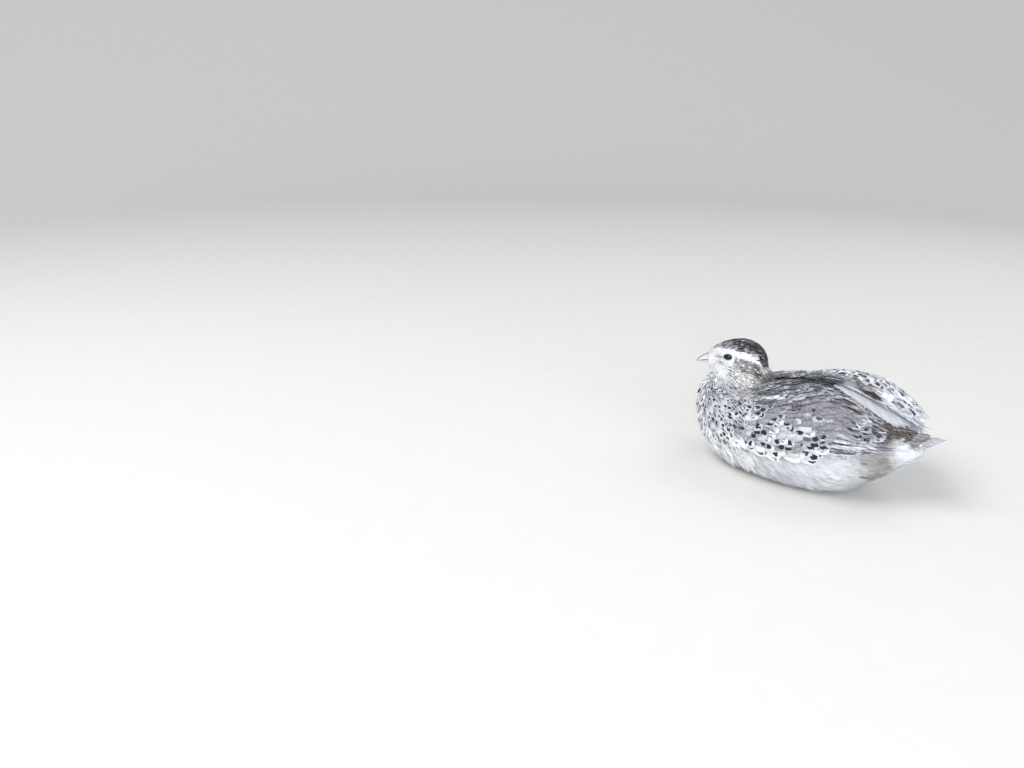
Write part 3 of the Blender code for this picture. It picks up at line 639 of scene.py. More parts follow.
@dataclass(frozen=True)
class FeatherFinish(Finish):
    """The finish of feathers that carry their colours as attributes."""

    barb_count: float = 26.0
    barb_slant: float = 0.35
    bump: float = 0.35
    bump_metres: float = 0.00012
    roughness: float = 0.72
    gloss: float = 0.25
    sheen: float = 0.15
    streak: Colour = (0.90, 0.92, 0.95)

    def draw(self, graph: Graph) -> dict[str, object]:
        """Lays streak, marks and barbs over the ground colour.

        Args:
            graph: The material's graph.

        Returns:
            What the shader's inputs get.
        """
        where = {"Place": graph.signal("ShaderNodeUVMap", {}, uv_map=VANE_MAP)}
        where["Chance"] = graph.attribute("chance")[1]
        weights, _, _, shaft = graph.outputs("ShaderNodeAttribute", {}, attribute_name="marks")
        spot, wedge, bars = graph.outputs("ShaderNodeSeparateColor", {0: weights})
        marks = where | {"Spot": spot, "Wedge": wedge, "Bars": bars, "Shaft": shaft}
        mark, streak = graph.outputs("ShaderNodeGroup", marks, node_tree=vane_marks())
        lines = where | {"Count": self.barb_count, "Slant": self.barb_slant}
        height, shade = graph.outputs("ShaderNodeGroup", lines, node_tree=vane_barbs())
        colour = graph.mix(streak, graph.attribute("ground")[0], (*self.streak, 1.0))
        colour = graph.mix(mark, colour, graph.attribute("mark")[0])
        grey = graph.signal("ShaderNodeCombineColor", dict.fromkeys(range(3), shade))
        return {
            "Base Color": graph.mix(1.0, colour, grey, "MULTIPLY"),
            "Normal": graph.bump(height, self.bump, self.bump_metres),
            "Roughness": self.roughness,
            "Specular IOR Level": self.gloss,
            "Sheen Weight": self.sheen,
        }


@dataclass(frozen=True)
class SkinFinish(Finish):
    """The down and skin under the feathers, coloured by the same markings."""

    name: str = "quail_down"
    dark: Colour = (0.78, 0.77, 0.77)
    light: Colour = (0.98, 0.98, 1.0)

    def draw(self, graph: Graph) -> dict[str, object]:
        """Lays a fine fluff over the ground colour."""
        fine = graph.noise(graph.object_places(), 1400.0, 3.0, 0.65)
        shade = graph.mix(graph.step(fine, 0.35, 0.65), (*self.dark, 1.0), (*self.light, 1.0))
        colour = graph.mix(1.0, graph.attribute("ground")[0], shade, "MULTIPLY")
        return {"Base Color": colour, "Normal": graph.bump(fine, 0.6, 0.0003), "Roughness": 0.95}


@dataclass(frozen=True)
class HornFinish(Finish):
    """Horn, scaled skin or eye: two colours mixed by an attribute and by noise, with a bump."""

    colour: Colour
    second: Colour
    roughness: float = 0.4
    grain: float = 900.0
    bump: float = 0.2
    bump_metres: float = 0.0002
    gloss: float = 0.5
    scales: float = 0.0
    seam: Colour = (0.5, 0.42, 0.4)

    def draw(self, graph: Graph) -> dict[str, object]:
        """Mixes the two colours and draws the scales, if it has any.

        Args:
            graph: The material's graph.

        Returns:
            What the shader's inputs get.
        """
        where = graph.object_places()
        fine = graph.noise(where, self.grain, 4.0, 0.6)
        share = (fine - 0.5) * 0.5 + graph.attribute("zone")[1]
        colour, height = graph.mix(share, (*self.colour, 1.0), (*self.second, 1.0)), fine
        if self.scales:
            inputs = {"Vector": where, "Scale": self.scales}
            edge = graph.signal("ShaderNodeTexVoronoi", inputs, feature="DISTANCE_TO_EDGE")
            plate = graph.step(edge, 0.02, 0.16)
            between = graph.mix(1.0, colour, (*self.seam, 1.0), "MULTIPLY")
            colour, height = graph.mix(plate, between, colour), fine * 0.2 + plate
        return {
            "Base Color": colour,
            "Normal": graph.bump(height, self.bump, self.bump_metres),
            "Roughness": self.roughness,
            "Specular IOR Level": self.gloss,
        }


@dataclass(frozen=True)
class FloorFinish(Finish):
    """A plain pale floor with a faint cloud in it."""

    name: str = "studio_floor"
    dark: Colour = (0.70, 0.69, 0.67)
    light: Colour = (0.73, 0.72, 0.70)

    def draw(self, graph: Graph) -> dict[str, object]:
        """Mixes the two greys."""
        cloud = graph.noise(graph.object_places(), 60.0, 3.0)
        return {"Base Color": graph.mix(cloud, (*self.dark, 1.0), (*self.light, 1.0)), "Roughness": 0.9}


# Meshes


def linked(name: str, mesh: Mesh) -> Piece:
    """A smooth object of a mesh, in the scene."""
    mesh.shade_smooth()
    obj = bpy.data.objects.new(name, mesh)
    bpy.context.scene.collection.objects.link(obj)
    return obj


def object_from_arrays(name: str, points: Array, faces: Array) -> Piece:
    """Many copies of a form, already placed, as one object.

    Args:
        name: The object's name.
        points: Its corners in the frame.
        faces: The corners of each four-sided face.

    Returns:
        The object.
    """
    mesh = bpy.data.meshes.new(name)
    mesh.vertices.add(len(points))
    mesh.loops.add(faces.size)
    mesh.loops.foreach_set("vertex_index", faces.astype(np.int32).ravel())
    mesh.polygons.add(len(faces))
    mesh.polygons.foreach_set("loop_start", np.arange(0, faces.size, faces.shape[1], dtype=np.int32))
    move_points(mesh, points)
    mesh.update(calc_edges=True)
    return linked(name, mesh)


def object_from_bmesh(name: str, shape: Form) -> Piece:
    """A bmesh, which is freed, as an object."""
    mesh = bpy.data.meshes.new(name)
    shape.to_mesh(mesh)
    shape.free()
    return linked(name, mesh)


def spun(profile: list[Spot], steps: int) -> Form:
    """A line spun once round the upright axis."""
    shape = bmesh.new()
    verts = [shape.verts.new((out, 0.0, height)) for out, height in profile]
    edges = [shape.edges.new(pair) for pair in zip(verts, verts[1:])]
    turn = {"cent": (0.0, 0.0, 0.0), "axis": (0.0, 0.0, 1.0), "angle": FULL_TURN}
    bmesh.ops.spin(shape, geom=verts + edges, steps=steps, use_merge=True, **turn)
    bmesh.ops.remove_doubles(shape, verts=shape.verts, dist=1e-5)
    bmesh.ops.recalc_face_normals(shape, faces=shape.faces)
    return shape


def vectors_of(items: bpy.types.bpy_prop_collection, name: str) -> Array:
    """A vector of each item of a mesh."""
    vectors = np.zeros(len(items) * 3, np.float32)
    items.foreach_get(name, vectors)
    return vectors.reshape(-1, 3).astype(float)


def points_of(mesh: Mesh) -> Array:
    """A mesh's vertices, one row each."""
    return vectors_of(mesh.vertices, "co")


def normals_of(mesh: Mesh) -> Array:
    """A mesh's vertex normals, one row each."""
    return vectors_of(mesh.vertex_normals, "vector")


def move_points(mesh: Mesh, points: Array) -> None:
    """Puts a mesh's vertices where an array says."""
    mesh.vertices.foreach_set("co", points.astype(np.float32).ravel())


def paint_points(mesh: Mesh, name: str, values: Array) -> None:
    """Stores one number or one colour for each vertex."""
    if values.ndim == 1:
        mesh.attributes.new(name, "FLOAT", "POINT").data.foreach_set("value", values.astype(np.float32))
        return
    if values.shape[1] == 3:
        values = np.hstack([values, np.ones((len(values), 1))])
    colours = mesh.attributes.new(name, "FLOAT_COLOR", "POINT").data
    colours.foreach_set("color", values.astype(np.float32).ravel())


def with_modifier(obj: Piece, kind: str, **settings: object) -> None:
    """Adds a modifier and applies it at once.

    Args:
        obj: The object.
        kind: The modifier's type.
        settings: Its settings by name.
    """
    modifier = obj.modifiers.new(kind.title(), kind)
    for name, value in settings.items():
        setattr(modifier, name, value)
    bpy.context.view_layer.update()
    graph = bpy.context.evaluated_depsgraph_get()
    made = bpy.data.meshes.new_from_object(obj.evaluated_get(graph))
    obj.modifiers.clear()
    old, obj.data = obj.data, made
    bpy.data.meshes.remove(old)


def thicken(obj: Piece, thickness: float) -> None:
    """Makes thin vanes closed solids, their outer faces where they are."""
    shell = obj.modifiers.new("Thickness", "SOLIDIFY")
    shell.thickness, shell.offset = thickness * MM, -1.0


def keep_largest(shape: Form) -> None:
    """Drops every loose part of a mesh but the one with the most faces.

    Args:
        shape: The mesh.
    """
    left, islands = set(shape.faces), []
    while left:
        stack, island = [left.pop()], []
        while stack:
            face = stack.pop()
            island.append(face)
            fresh = {other for edge in face.edges for other in edge.link_faces} & left
            left -= fresh
            stack.extend(fresh)
        islands.append(island)
    islands.sort(key=len, reverse=True)
    bmesh.ops.delete(shape, geom=[face for island in islands[1:] for face in island], context="FACES")


def solid_copy(nodes: list[str], grow: float) -> Form:
    """The named solids as one bmesh, each grown a little along its normals.

    Args:
        nodes: The solids' names.
        grow: How far they grow, in millimetres.

    Returns:
        The bmesh.
    """
    joined = bmesh.new()
    for node in nodes:
        shape = bmesh.new()
        shape.from_mesh(bpy.data.objects[node].data)
        bmesh.ops.remove_doubles(shape, verts=shape.verts, dist=1e-6)
        shape.normal_update()
        for vert, normal in [(vert, vert.normal.copy()) for vert in shape.verts]:
            vert.co += normal * (grow * MM)
        mesh = bpy.data.meshes.new("scratch")
        shape.to_mesh(mesh)
        shape.free()
        joined.from_mesh(mesh)
        bpy.data.meshes.remove(mesh)
    return joined


def smooth_form(name: str, shape: Form, voxel: float, smoothing: int) -> Piece:
    """Remeshes a bmesh evenly and smooths it.

    Args:
        name: The object's name.
        shape: The bmesh.
        voxel: The size of the new mesh's cells, in millimetres.
        smoothing: How often it is smoothed.

    Returns:
        The object.
    """
    obj = object_from_bmesh(name, shape)
    with_modifier(obj, "REMESH", mode="VOXEL", voxel_size=voxel * MM)
    with_modifier(obj, "SMOOTH", factor=0.5, iterations=smoothing)
    kept = bmesh.new()
    kept.from_mesh(obj.data)
    keep_largest(kept)
    kept.to_mesh(obj.data)
    kept.free()
    obj.data.shade_smooth()
    return obj


def finish_piece(obj: Piece, finish: Finish, slot: Slot, *replaced: str) -> Piece:
    """Dresses a piece, lets it ride on the body and hides the solids that it stands for."""
    obj.data.materials.clear()
    obj.data.materials.append(finish.material())
    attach(obj, BODY)
    if replaced:
        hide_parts(*replaced)
    LOG.info("%s: %d faces", obj.name, len(obj.data.polygons))
    return obj


# One feather's form, and many of them as one mesh


@dataclass(frozen=True)
class Template:
    """One feather as arrays: lateral and forward place, rise, its own map and its faces."""

    lateral: Array
    forward: Array
    rise: Array
    place: Array
    faces: Array

    @classmethod
    def joined(cls, parts: list[Template]) -> Template:
        """Several pieces of a feather as one."""
        offsets = np.cumsum([0] + [len(part.lateral) for part in parts[:-1]])
        names = ("lateral", "forward", "rise", "place")
        columns = (np.concatenate([getattr(part, name) for part in parts]) for name in names)
        return cls(*columns, np.vstack([part.faces + offset for part, offset in zip(parts, offsets)]))


def flat_strip(across: int, along: int) -> tuple[Array, Array, Array]:
    """A flat grid to draw a vane from."""
    shape = bmesh.new()
    bmesh.ops.create_grid(shape, x_segments=across, y_segments=along, size=1.0)
    shape.verts.index_update()
    grid = np.array([vert.co[:] for vert in shape.verts])
    faces = np.array([[vert.index for vert in face.verts] for face in shape.faces])
    shape.free()
    return grid[:, 0], (grid[:, 1] + 1.0) / 2.0, faces


@dataclass(frozen=True)
class VaneForm:
    """The form of one feather, with how wide it is at shares of its length."""

    across: int = 2
    along: int = 5
    outline: tuple[Spot, ...] = ((0.0, 0.3), (0.3, 0.85), (0.6, 1.0), (0.85, 0.72), (1.0, 0.12))
    camber: float = 0.22
    barbs: int = 0
    barb_reach: float = 0.14
    # Where loose barbs start along the vane, over what share of it they grow, and half their width.
    barb_start: float = 0.45
    barb_span: float = 0.52
    barb_half_width: float = 0.03
    seed: int = 1

    def width(self, along: Array) -> Array:
        """The vane's half width at shares of its length."""
        return np.interp(along, *np.array(self.outline).T)

    def template(self) -> Template:
        """The feather as arrays: a grid drawn to its outline, with loose barbs along its rim.

        Returns:
            The arrays.
        """
        across, along, faces = flat_strip(self.across, self.along)
        place = np.stack([across * 0.5 + 0.5, along], axis=1)
        parts = [Template(across * self.width(along), along, self.camber * (1.0 - across**2), place, faces)]
        chance = np.random.default_rng(self.seed)
        for number in range(self.barbs):
            side = 1.0 if number % 2 else -1.0
            start = self.barb_start + self.barb_span * (number + 0.5) / self.barbs
            reach = self.barb_reach * chance.uniform(0.6, 1.3)
            lean = chance.uniform(0.25, 0.6)
            wide, tip = self.barb_half_width, self.barb_half_width * 0.4
            ends = np.array([start - wide, start + wide, start + reach + tip, start + reach - tip])
            at = self.width(np.minimum(ends, 1.0)) * 0.75
            at[2:] = self.width(np.array([start])) + reach * lean * np.array([1.6, 1.4])
            lifts = np.array([0.0, 0.0, 0.1, 0.1]) * self.camber
            own = np.stack([np.full(4, 0.5 + 0.42 * side), np.minimum(ends, 0.97)], axis=1)
            corners = np.array([[0, 1, 2, 3]]) if side > 0 else np.array([[3, 2, 1, 0]])
            parts.append(Template(side * at, ends, lifts, own, corners))
        return Template.joined(parts)


@dataclass(frozen=True)
class TuftForm(VaneForm):
    """A tuft of soft barbs that spread from one root."""

    blades: int = 7
    spread: float = 1.0
    blade_width: float = 0.11
    blade_stray: float = 0.12
    shortest: float = 0.72

    def template(self) -> Template:
        """The tuft as arrays: narrow tapering blades, each bending its own way.

        Returns:
            The arrays.
        """
        chance = np.random.default_rng(self.seed)
        parts = []
        for number in range(self.blades):
            across, along, faces = flat_strip(1, self.along)
            fan = (number + 0.5) / self.blades * 2.0 - 1.0
            length = chance.uniform(self.shortest, 1.0)
            bend = fan * self.spread * along**1.4 + chance.normal(0.0, self.blade_stray) * np.sin(along * 3.0)
            width = self.blade_width * (1.0 - 0.85 * along**1.5)
            lift = self.camber * (1.0 - fan**2) * along + chance.uniform(-0.1, 0.1) * along
            place = np.stack([0.5 + 0.45 * fan + 0.04 * across, along * length], axis=1)
            parts.append(Template(bend + across * width, along * length, lift, place, faces))
        return Template.joined(parts)


@dataclass
class Lay:
    """The middle lines of many feathers, as points and normals at even steps from root to tip."""

    points: Array
    normals: Array

    def at(self, share: Array) -> tuple[Array, Array, Array]:
        """Reads every line at shares of its length.

        Args:
            share: The shares, 0 at the root and 1 at the tip.

        Returns:
            Points, normals and sideways directions, lines by shares by 3.
        """
        last = self.points.shape[1] - 1
        steps = share * last
        start = np.clip(np.floor(steps).astype(int), 0, last - 1)
        part = (steps - start)[None, :, None]
        points = self.points[:, start] * (1.0 - part) + self.points[:, start + 1] * part
        normals = unit(self.normals[:, start] * (1.0 - part) + self.normals[:, start + 1] * part)
        spans = np.diff(self.points, axis=1)
        mid = np.concatenate([spans[:, :1], (spans[:, 1:] + spans[:, :-1]) / 2.0, spans[:, -1:]], axis=1)
        along = mid[:, start] * (1.0 - part) + mid[:, start + 1] * part
        return points, normals, unit(np.cross(along, normals))


def plume_object(
    name: str, template: Template, points: Array, looks: Plumes, bake: Array, chance: Chance
) -> Piece:
    """Many feathers as one mesh that carries their looks and maps.

    Args:
        name: The piece's name.
        template: The form that they share.
        points: The corners of every feather, feathers by corners by 3, in the frame.
        looks: The look of each feather.
        bake: The middle of each feather's patch on the bake map.
        chance: The seeded source of each feather's own number.

    Returns:
        The object.
    """
    count, corners = points.shape[:2]
    faces = (template.faces[None] + (np.arange(count) * corners)[:, None, None]).reshape(-1, 4)
    obj = object_from_arrays(name, points.reshape(-1, 3), faces)
    own = template.place[template.faces.ravel()]
    patches = bake[:, None, :] + (own - 0.5)[None] * BAKE_PATCH
    for label, values in ((BAKE_MAP, patches), (VANE_MAP, np.tile(own, (count, 1)))):
        layer = obj.data.uv_layers.new(name=label)
        layer.data.foreach_set("uv", values.astype(np.float32).ravel())
    for label, values in (("ground", looks.ground), ("mark", looks.mark), ("marks", looks.marks)):
        paint_points(obj.data, label, np.repeat(values, corners, axis=0))
    paint_points(obj.data, "chance", np.repeat(chance.random(count), corners))
    return obj


# The skin


@dataclass
class Skin:
    """One skin for torso, neck and head, sunk below the solids by the depth of the coat."""

    places: Places
    markings: Markings
    voxel: float = 0.85
    body_depth: float = 2.5
    head_depth: float = 0.8
    # The share of the coat's depth that is left at the bill and at the floor.
    face_share: float = 0.25
    floor_share: float = 0.35
    ragged: float = 0.3
    shade: float = 0.92

    def depth(self, points: Array) -> Array:
        """The coat's depth, thin on face and belly."""
        head, body = self.places.head(points), self.places.body(points)
        on_head = step_up(head[:, 2], -17.0, -10.0)
        deep = self.body_depth + (self.head_depth - self.body_depth) * on_head
        deep = deep * (1.0 - (1.0 - self.face_share) * step_up(-head[:, 1], 12.0, 19.0) * on_head)
        return deep * (self.floor_share + (1.0 - self.floor_share) * step_up(body[:, 2], 2.0, 12.0))

    def build(self) -> Piece:
        """Makes and dresses the skin.

        Returns:
            The skin.
        """
        skin = smooth_form("skin", solid_copy(["torso", "neck", "head"], OVERLAP), self.voxel, 4)
        for _ in range(2):
            points, normals = points_of(skin.data), normals_of(skin.data)
            move_points(skin.data, points - normals * self.depth(points)[:, None] * MM / 2.0)
            skin.data.update()
        with_modifier(skin, "SMOOTH", factor=0.5, iterations=2)
        skin.data.shade_smooth()
        looks = self.markings.of(points_of(skin.data), np.random.default_rng(Seed.SKIN), self.ragged)
        paint_points(skin.data, "ground", looks.ground * self.shade)
        return finish_piece(skin, SkinFinish(), Slot.PALE, "torso", "neck", "head")


def far_apart(points: Array, least: float) -> list[int]:
    """Picks points that lie no nearer to each other than a distance, first come first served.

    Args:
        points: The points.
        least: The distance.

    Returns:
        Which points are kept.
    """
    taken: dict[tuple[int, ...], list[list[float]]] = {}
    kept: list[int] = []
    near = [(i, j, k) for i in (-1, 0, 1) for j in (-1, 0, 1) for k in (-1, 0, 1)]
    cells = np.floor(points / least).astype(int).tolist()
    for index, ((a, b, c), (x, y, z)) in enumerate(zip(cells, points.tolist())):
        around = (other for i, j, k in near for other in taken.get((a + i, b + j, c + k), ()))
        if all((x - p) ** 2 + (y - q) ** 2 + (z - r) ** 2 >= least**2 for p, q, r in around):
            taken.setdefault((a, b, c), []).append([x, y, z])
            kept.append(index)
    return kept


@dataclass
class Ground:
    """The skin and the arms of the wings as something to root feathers on and to lay them over."""

    places: Places
    surfaces: list[Piece]
    # How near a wing must lie over the skin to cover it, and how far back on the arms small feathers grow.
    cover: float = 5.0
    arm_end: float = -30.0
    tries: float = 5.0
    bill_root: Point = (0.0, -22.0, -3.0)
    tail_tip: Point = (0.0, 84.0, 46.0)
    bill_pull: float = 0.02
    tail_pull: float = 0.03
    droop: float = 0.12
    eye_ring: float = 3.2

    def __post_init__(self) -> None:
        """Reads the meshes once and finds what of them lies open."""
        points, normals, triangles, count = [], [], [], 0
        for mesh in (obj.data for obj in self.surfaces):
            mesh.calc_loop_triangles()
            points.append(points_of(mesh))
            normals.append(normals_of(mesh))
            corners = np.zeros(len(mesh.loop_triangles) * 3, np.int32)
            mesh.loop_triangles.foreach_get("vertices", corners)
            triangles.append(corners.reshape(-1, 3) + count)
            count += len(mesh.vertices)
        self.points, self.normals = np.concatenate(points), np.concatenate(normals)
        self.triangles = np.concatenate(triangles)
        self.centres = self.points[self.triangles].mean(axis=1)
        self.tree = BVHTree.FromPolygons(self.points.tolist(), self.triangles.tolist())
        self.face_normals = unit(self.normals[self.triangles].sum(axis=1))
        on_arm = np.arange(len(self.triangles)) >= len(triangles[0])
        far_back = on_arm & (self.places.body(self.centres)[:, 1] > self.arm_end)
        self.open = self.find_open() & ~far_back
        mirror = np.array([[1.0, 1.0, 1.0], [-1.0, 1.0, 1.0]])
        eye, look = np.array(self.places.eye_centre), np.array(self.places.eye_look)
        self.eyes = self.places.from_head(eye * mirror)
        self.eye_looks = unit(self.places.from_head((eye + look) * mirror) - self.eyes)

    def find_open(self) -> Array:
        """Finds which triangles no other surface covers closely."""
        starts = (self.centres + self.face_normals * 0.2 * MM).tolist()
        ways = self.face_normals.tolist()
        body = self.places.body(self.centres)
        by_wing = (body[:, 1] > -62.0) & (body[:, 1] < 30.0) & (body[:, 2] > 8.0)
        clear = np.ones(len(starts), bool)
        for k in np.flatnonzero(by_wing):
            clear[k] = self.tree.ray_cast(starts[k], ways[k], self.cover * MM)[0] is None
        return clear

    def nearest(self, points: Array) -> tuple[Array, Array]:
        """Drops points onto the skin."""
        found = [self.tree.find_nearest(point) for point in points]
        return np.array([hit[0][:] for hit in found]), self.face_normals[[hit[2] for hit in found]]

    def scatter(
        self, where: Callable[[Array], Array], spacing: float, chance: Chance
    ) -> tuple[Array, Array]:
        """Roots spread evenly over a part of the skin and the front of the arms.

        Args:
            where: Which of the given frame points belong to the part.
            spacing: The least distance between roots, in millimetres.
            chance: The seeded source of places.

        Returns:
            Roots and the skin's normals there, front to back.
        """
        corners = self.points[self.triangles]
        sides = np.cross(corners[:, 1] - corners[:, 0], corners[:, 2] - corners[:, 0])
        areas = np.linalg.norm(sides, axis=1) / 2.0 * (where(self.centres) & self.open)
        tries = int(areas.sum() / (spacing * MM) ** 2 * self.tries)
        picked = chance.choice(len(areas), tries, p=areas / areas.sum())
        first, second = chance.random(tries), chance.random(tries)
        flip = first + second > 1.0
        first[flip], second[flip] = 1.0 - first[flip], 1.0 - second[flip]
        at = corners[picked]
        points = at[:, 0] + (at[:, 1] - at[:, 0]) * first[:, None] + (at[:, 2] - at[:, 0]) * second[:, None]
        kept = far_apart(points, spacing * MM)
        roots, normals = points[kept], self.face_normals[picked[kept]]
        order = np.argsort(roots[:, 1])
        return roots[order], normals[order]

    def flow(self, points: Array, normals: Array) -> Array:
        """The way feathers lie: away from the bill, round the eyes, over the body and to the tail.

        Args:
            points: Places on the skin.
            normals: The skin's normals there.

        Returns:
            Unit vectors along the skin.
        """
        out = points - self.places.from_head(np.array([self.bill_root]))[0]
        inward = self.places.frame(np.array([self.tail_tip]))[0] - points
        way = unit(out) / (np.linalg.norm(out, axis=1, keepdims=True) + self.bill_pull)
        way += unit(inward) / (np.linalg.norm(inward, axis=1, keepdims=True) + self.tail_pull)
        way = flatten_to(unit(way) - np.array([0.0, 0.0, self.droop]), normals)
        for eye, look in zip(self.eyes, self.eye_looks):
            across = flatten_to(points - eye, np.tile(look, (len(points), 1)))
            far = np.maximum(np.linalg.norm(across, axis=1, keepdims=True), 1e-9)
            same = (points - eye) @ look > 0.0
            away = across / far
            radial = np.sum(way * away, axis=1, keepdims=True)
            bend = np.clip((self.eye_ring * MM / far) ** 2, 0.0, 1.0) * same[:, None]
            way = way - away * radial * bend
        return unit(flatten_to(way, normals))

    def lay_lines(self, roots: Array, normals: Array, lengths: Array, turn: Array, steps: int) -> Lay:
        """Lays middle lines over the skin, step by step.

        Args:
            roots: Where the feathers grow.
            normals: The skin's normals there.
            lengths: How long each is, in metres.
            turn: How far each strays from the lie, in radians.
            steps: How many steps a line has.

        Returns:
            The lines, on the skin itself.
        """
        points, ups = [roots], [normals]
        for _ in range(steps):
            way = self.flow(points[-1], ups[-1])
            side = np.cross(ups[-1], way)
            way = way * np.cos(turn)[:, None] + side * np.sin(turn)[:, None]
            found, up = self.nearest(points[-1] + way * (lengths / steps)[:, None])
            points.append(found)
            ups.append(unit(up + ups[-1] * 0.5))
        return Lay(np.stack(points, axis=1), np.stack(ups, axis=1))

    def bake_places(self, points: Array) -> Array:
        """Each point's place on an unwrap of the skin: along it and round it.

        Args:
            points: Places on the skin.

        Returns:
            Their places on the map, the body's below the head's.
        """
        body, head = self.places.body(points), self.places.head(points)

        def unwrapped(at: Array, start: float, long: float, middle: float, low: float, tall: float) -> Array:
            """One part's places along and round it."""
            round_it = np.arctan2(at[:, 0], at[:, 2] - middle) / FULL_TURN + 0.5
            along = np.clip((at[:, 1] - start) / long, 0.0, 1.0)
            return np.stack([0.02 + 0.96 * along, low + tall * round_it], axis=1)

        lower = unwrapped(body, -76.0, 156.0, 32.0, 0.02, 0.60)
        upper = unwrapped(head, -22.0, 46.0, -2.0, 0.66, 0.32)
        return np.where((head[:, 2] > -12.0)[:, None], upper, lower)


# The small feathers


@dataclass(frozen=True)
class Regions:
    """Which points belong to which part of her, by their places in the head's and the body's axes."""

    head: Array
    body: Array

    def on_head(self) -> Array:
        """The head down to the throat."""
        return (self.head[:, 2] > -14.5) & (self.body[:, 1] < -28.0)

    def on_face(self) -> Array:
        """The face and the ear patch."""
        on_ear = (self.head[:, 2] < 1.5) & (self.head[:, 1] < 9.0)
        return self.on_head() & ((self.head[:, 1] < -2.0) | on_ear)

    def on_crown(self) -> Array:
        """The crown and the nape."""
        return self.on_head() & ~self.on_face()

    def on_neck(self) -> Array:
        """The neck."""
        return ~self.on_head() & (self.body[:, 2] > 54.0) & (self.body[:, 1] < -26.0)

    def on_shoulder(self) -> Array:
        """The sides in front of the wings."""
        high = (self.body[:, 2] > 26.0) & (self.body[:, 2] <= 62.0) & (np.abs(self.body[:, 0]) > 24.0)
        ahead = (self.body[:, 1] >= -54.0) & (self.body[:, 1] < -20.0)
        return high & ahead & ~self.on_neck() & ~self.on_head()

    def on_breast(self) -> Array:
        """The breast."""
        front = (self.body[:, 1] < -24.0) & (self.body[:, 2] > 9.0)
        return front & ~self.on_head() & ~self.on_neck() & ~self.on_shoulder()

    def on_back(self) -> Array:
        """The back down to the tail."""
        behind = (self.body[:, 1] >= -30.0) & (self.body[:, 1] < 62.0) & (self.body[:, 2] > 44.0)
        return behind & ~self.on_neck() & ~self.on_head() & ~self.on_shoulder()

    def on_rear(self) -> Array:
        """The vent and under the tail."""
        return (self.body[:, 1] >= 38.0) & (self.body[:, 2] <= 46.0)

    def on_side(self) -> Array:
        """Flanks and belly: all the rest, down to where she lies on the floor."""
        ahead = self.on_head() | self.on_neck() | self.on_breast() | self.on_shoulder()
        return ~ahead & ~self.on_back() & ~self.on_rear() & (self.body[:, 2] > 2.5)


@dataclass(frozen=True)
class Tract:
    """Small feathers that share a form, a size and a part of the skin."""

    name: str
    where: Callable[[Regions], Array]
    form: VaneForm
    spacing: float
    length: float
    half_width: float
    lift: float
    seed: Seed
    sink: float = 0.35
    stray: float = 0.12
    uneven: float = 0.18
    roll: float = 0.18
    finish: FeatherFinish = FeatherFinish("quail_body_feathers")
    slot: Slot = Slot.PALE


@dataclass
class Coat:
    """The small feathers over the skin, tract by tract."""

    places: Places
    markings: Markings
    ground: Ground
    steps: int = 4
    # The opening of an eye, along the head and upwards.
    eye_opening: Spot = (-8.6, 1.15)
    eye_half_length: float = 2.65
    eye_half_height: float = 1.65

    def build(self, tract: Tract) -> Piece:
        """Makes one tract as one piece.

        Args:
            tract: The tract.

        Returns:
            The piece.
        """
        chance = np.random.default_rng(tract.seed)
        places = self.places
        roots, normals = self.ground.scatter(
            lambda at: tract.where(Regions(places.head(at), places.body(at))), tract.spacing, chance
        )
        clear = self.off_eyes(roots, 1.12)
        roots, normals = roots[clear], normals[clear]
        count = len(roots)
        sizes = np.clip(chance.normal(1.0, tract.uneven, count), 0.6, 1.5)
        sizes *= self.face_share(roots)
        turn = chance.normal(0.0, tract.stray, count)
        lay = self.ground.lay_lines(roots, normals, tract.length * MM * sizes, turn, self.steps)
        clear = self.off_eyes(lay.points[:, -1], 1.0) & self.off_eyes(lay.points[:, 2], 1.05)
        lay = Lay(lay.points[clear], lay.normals[clear])
        roots, sizes = roots[clear], sizes[clear]
        template = tract.form.template()
        count = len(sizes)
        points, ups, sides = lay.at(template.forward)
        width = (tract.half_width * MM * sizes * chance.uniform(0.85, 1.15, count))[:, None]
        lift = (tract.lift * MM * np.sqrt(sizes) * chance.uniform(0.8, 1.2, count))[:, None]
        height = lift * template.forward[None] ** 0.9 - tract.sink * MM
        height = height + template.rise[None] * width
        height = height + chance.normal(0.0, tract.roll, count)[:, None] * template.lateral[None] * width
        made = points + sides * (template.lateral[None] * width)[..., None] + ups * height[..., None]
        made[..., 2] = np.maximum(made[..., 2], FEATHER_FLOOR * MM)
        looks = self.markings.of(lay.points[:, self.steps - 1], chance)
        obj = plume_object(tract.name, template, made, looks, self.ground.bake_places(roots), chance)
        return finish_piece(obj, tract.finish, tract.slot)

    def off_eyes(self, points: Array, share: float) -> Array:
        """Finds which points lie clear of both eyes' openings."""
        head = self.places.head(points)
        along = (head[:, 1] - self.eye_opening[0]) / (self.eye_half_length * share)
        up = (head[:, 2] - self.eye_opening[1]) / (self.eye_half_height * share)
        return ~((np.hypot(along, up) < 1.0) & (np.abs(head[:, 0]) > 3.0))

    def face_share(self, points: Array) -> Array:
        """How much shorter feathers are towards the bill and the eyes."""
        head = self.places.head(points)
        on_head = step_up(head[:, 2], -13.0, -8.0)
        share = 1.0 - 0.5 * step_up(-head[:, 1], 6.0, 17.0) * on_head
        for eye in self.ground.eyes:
            far = np.linalg.norm(points - eye, axis=1) / MM
            share *= 0.62 + 0.38 * step_up(far, 3.6, 7.5)
        return share


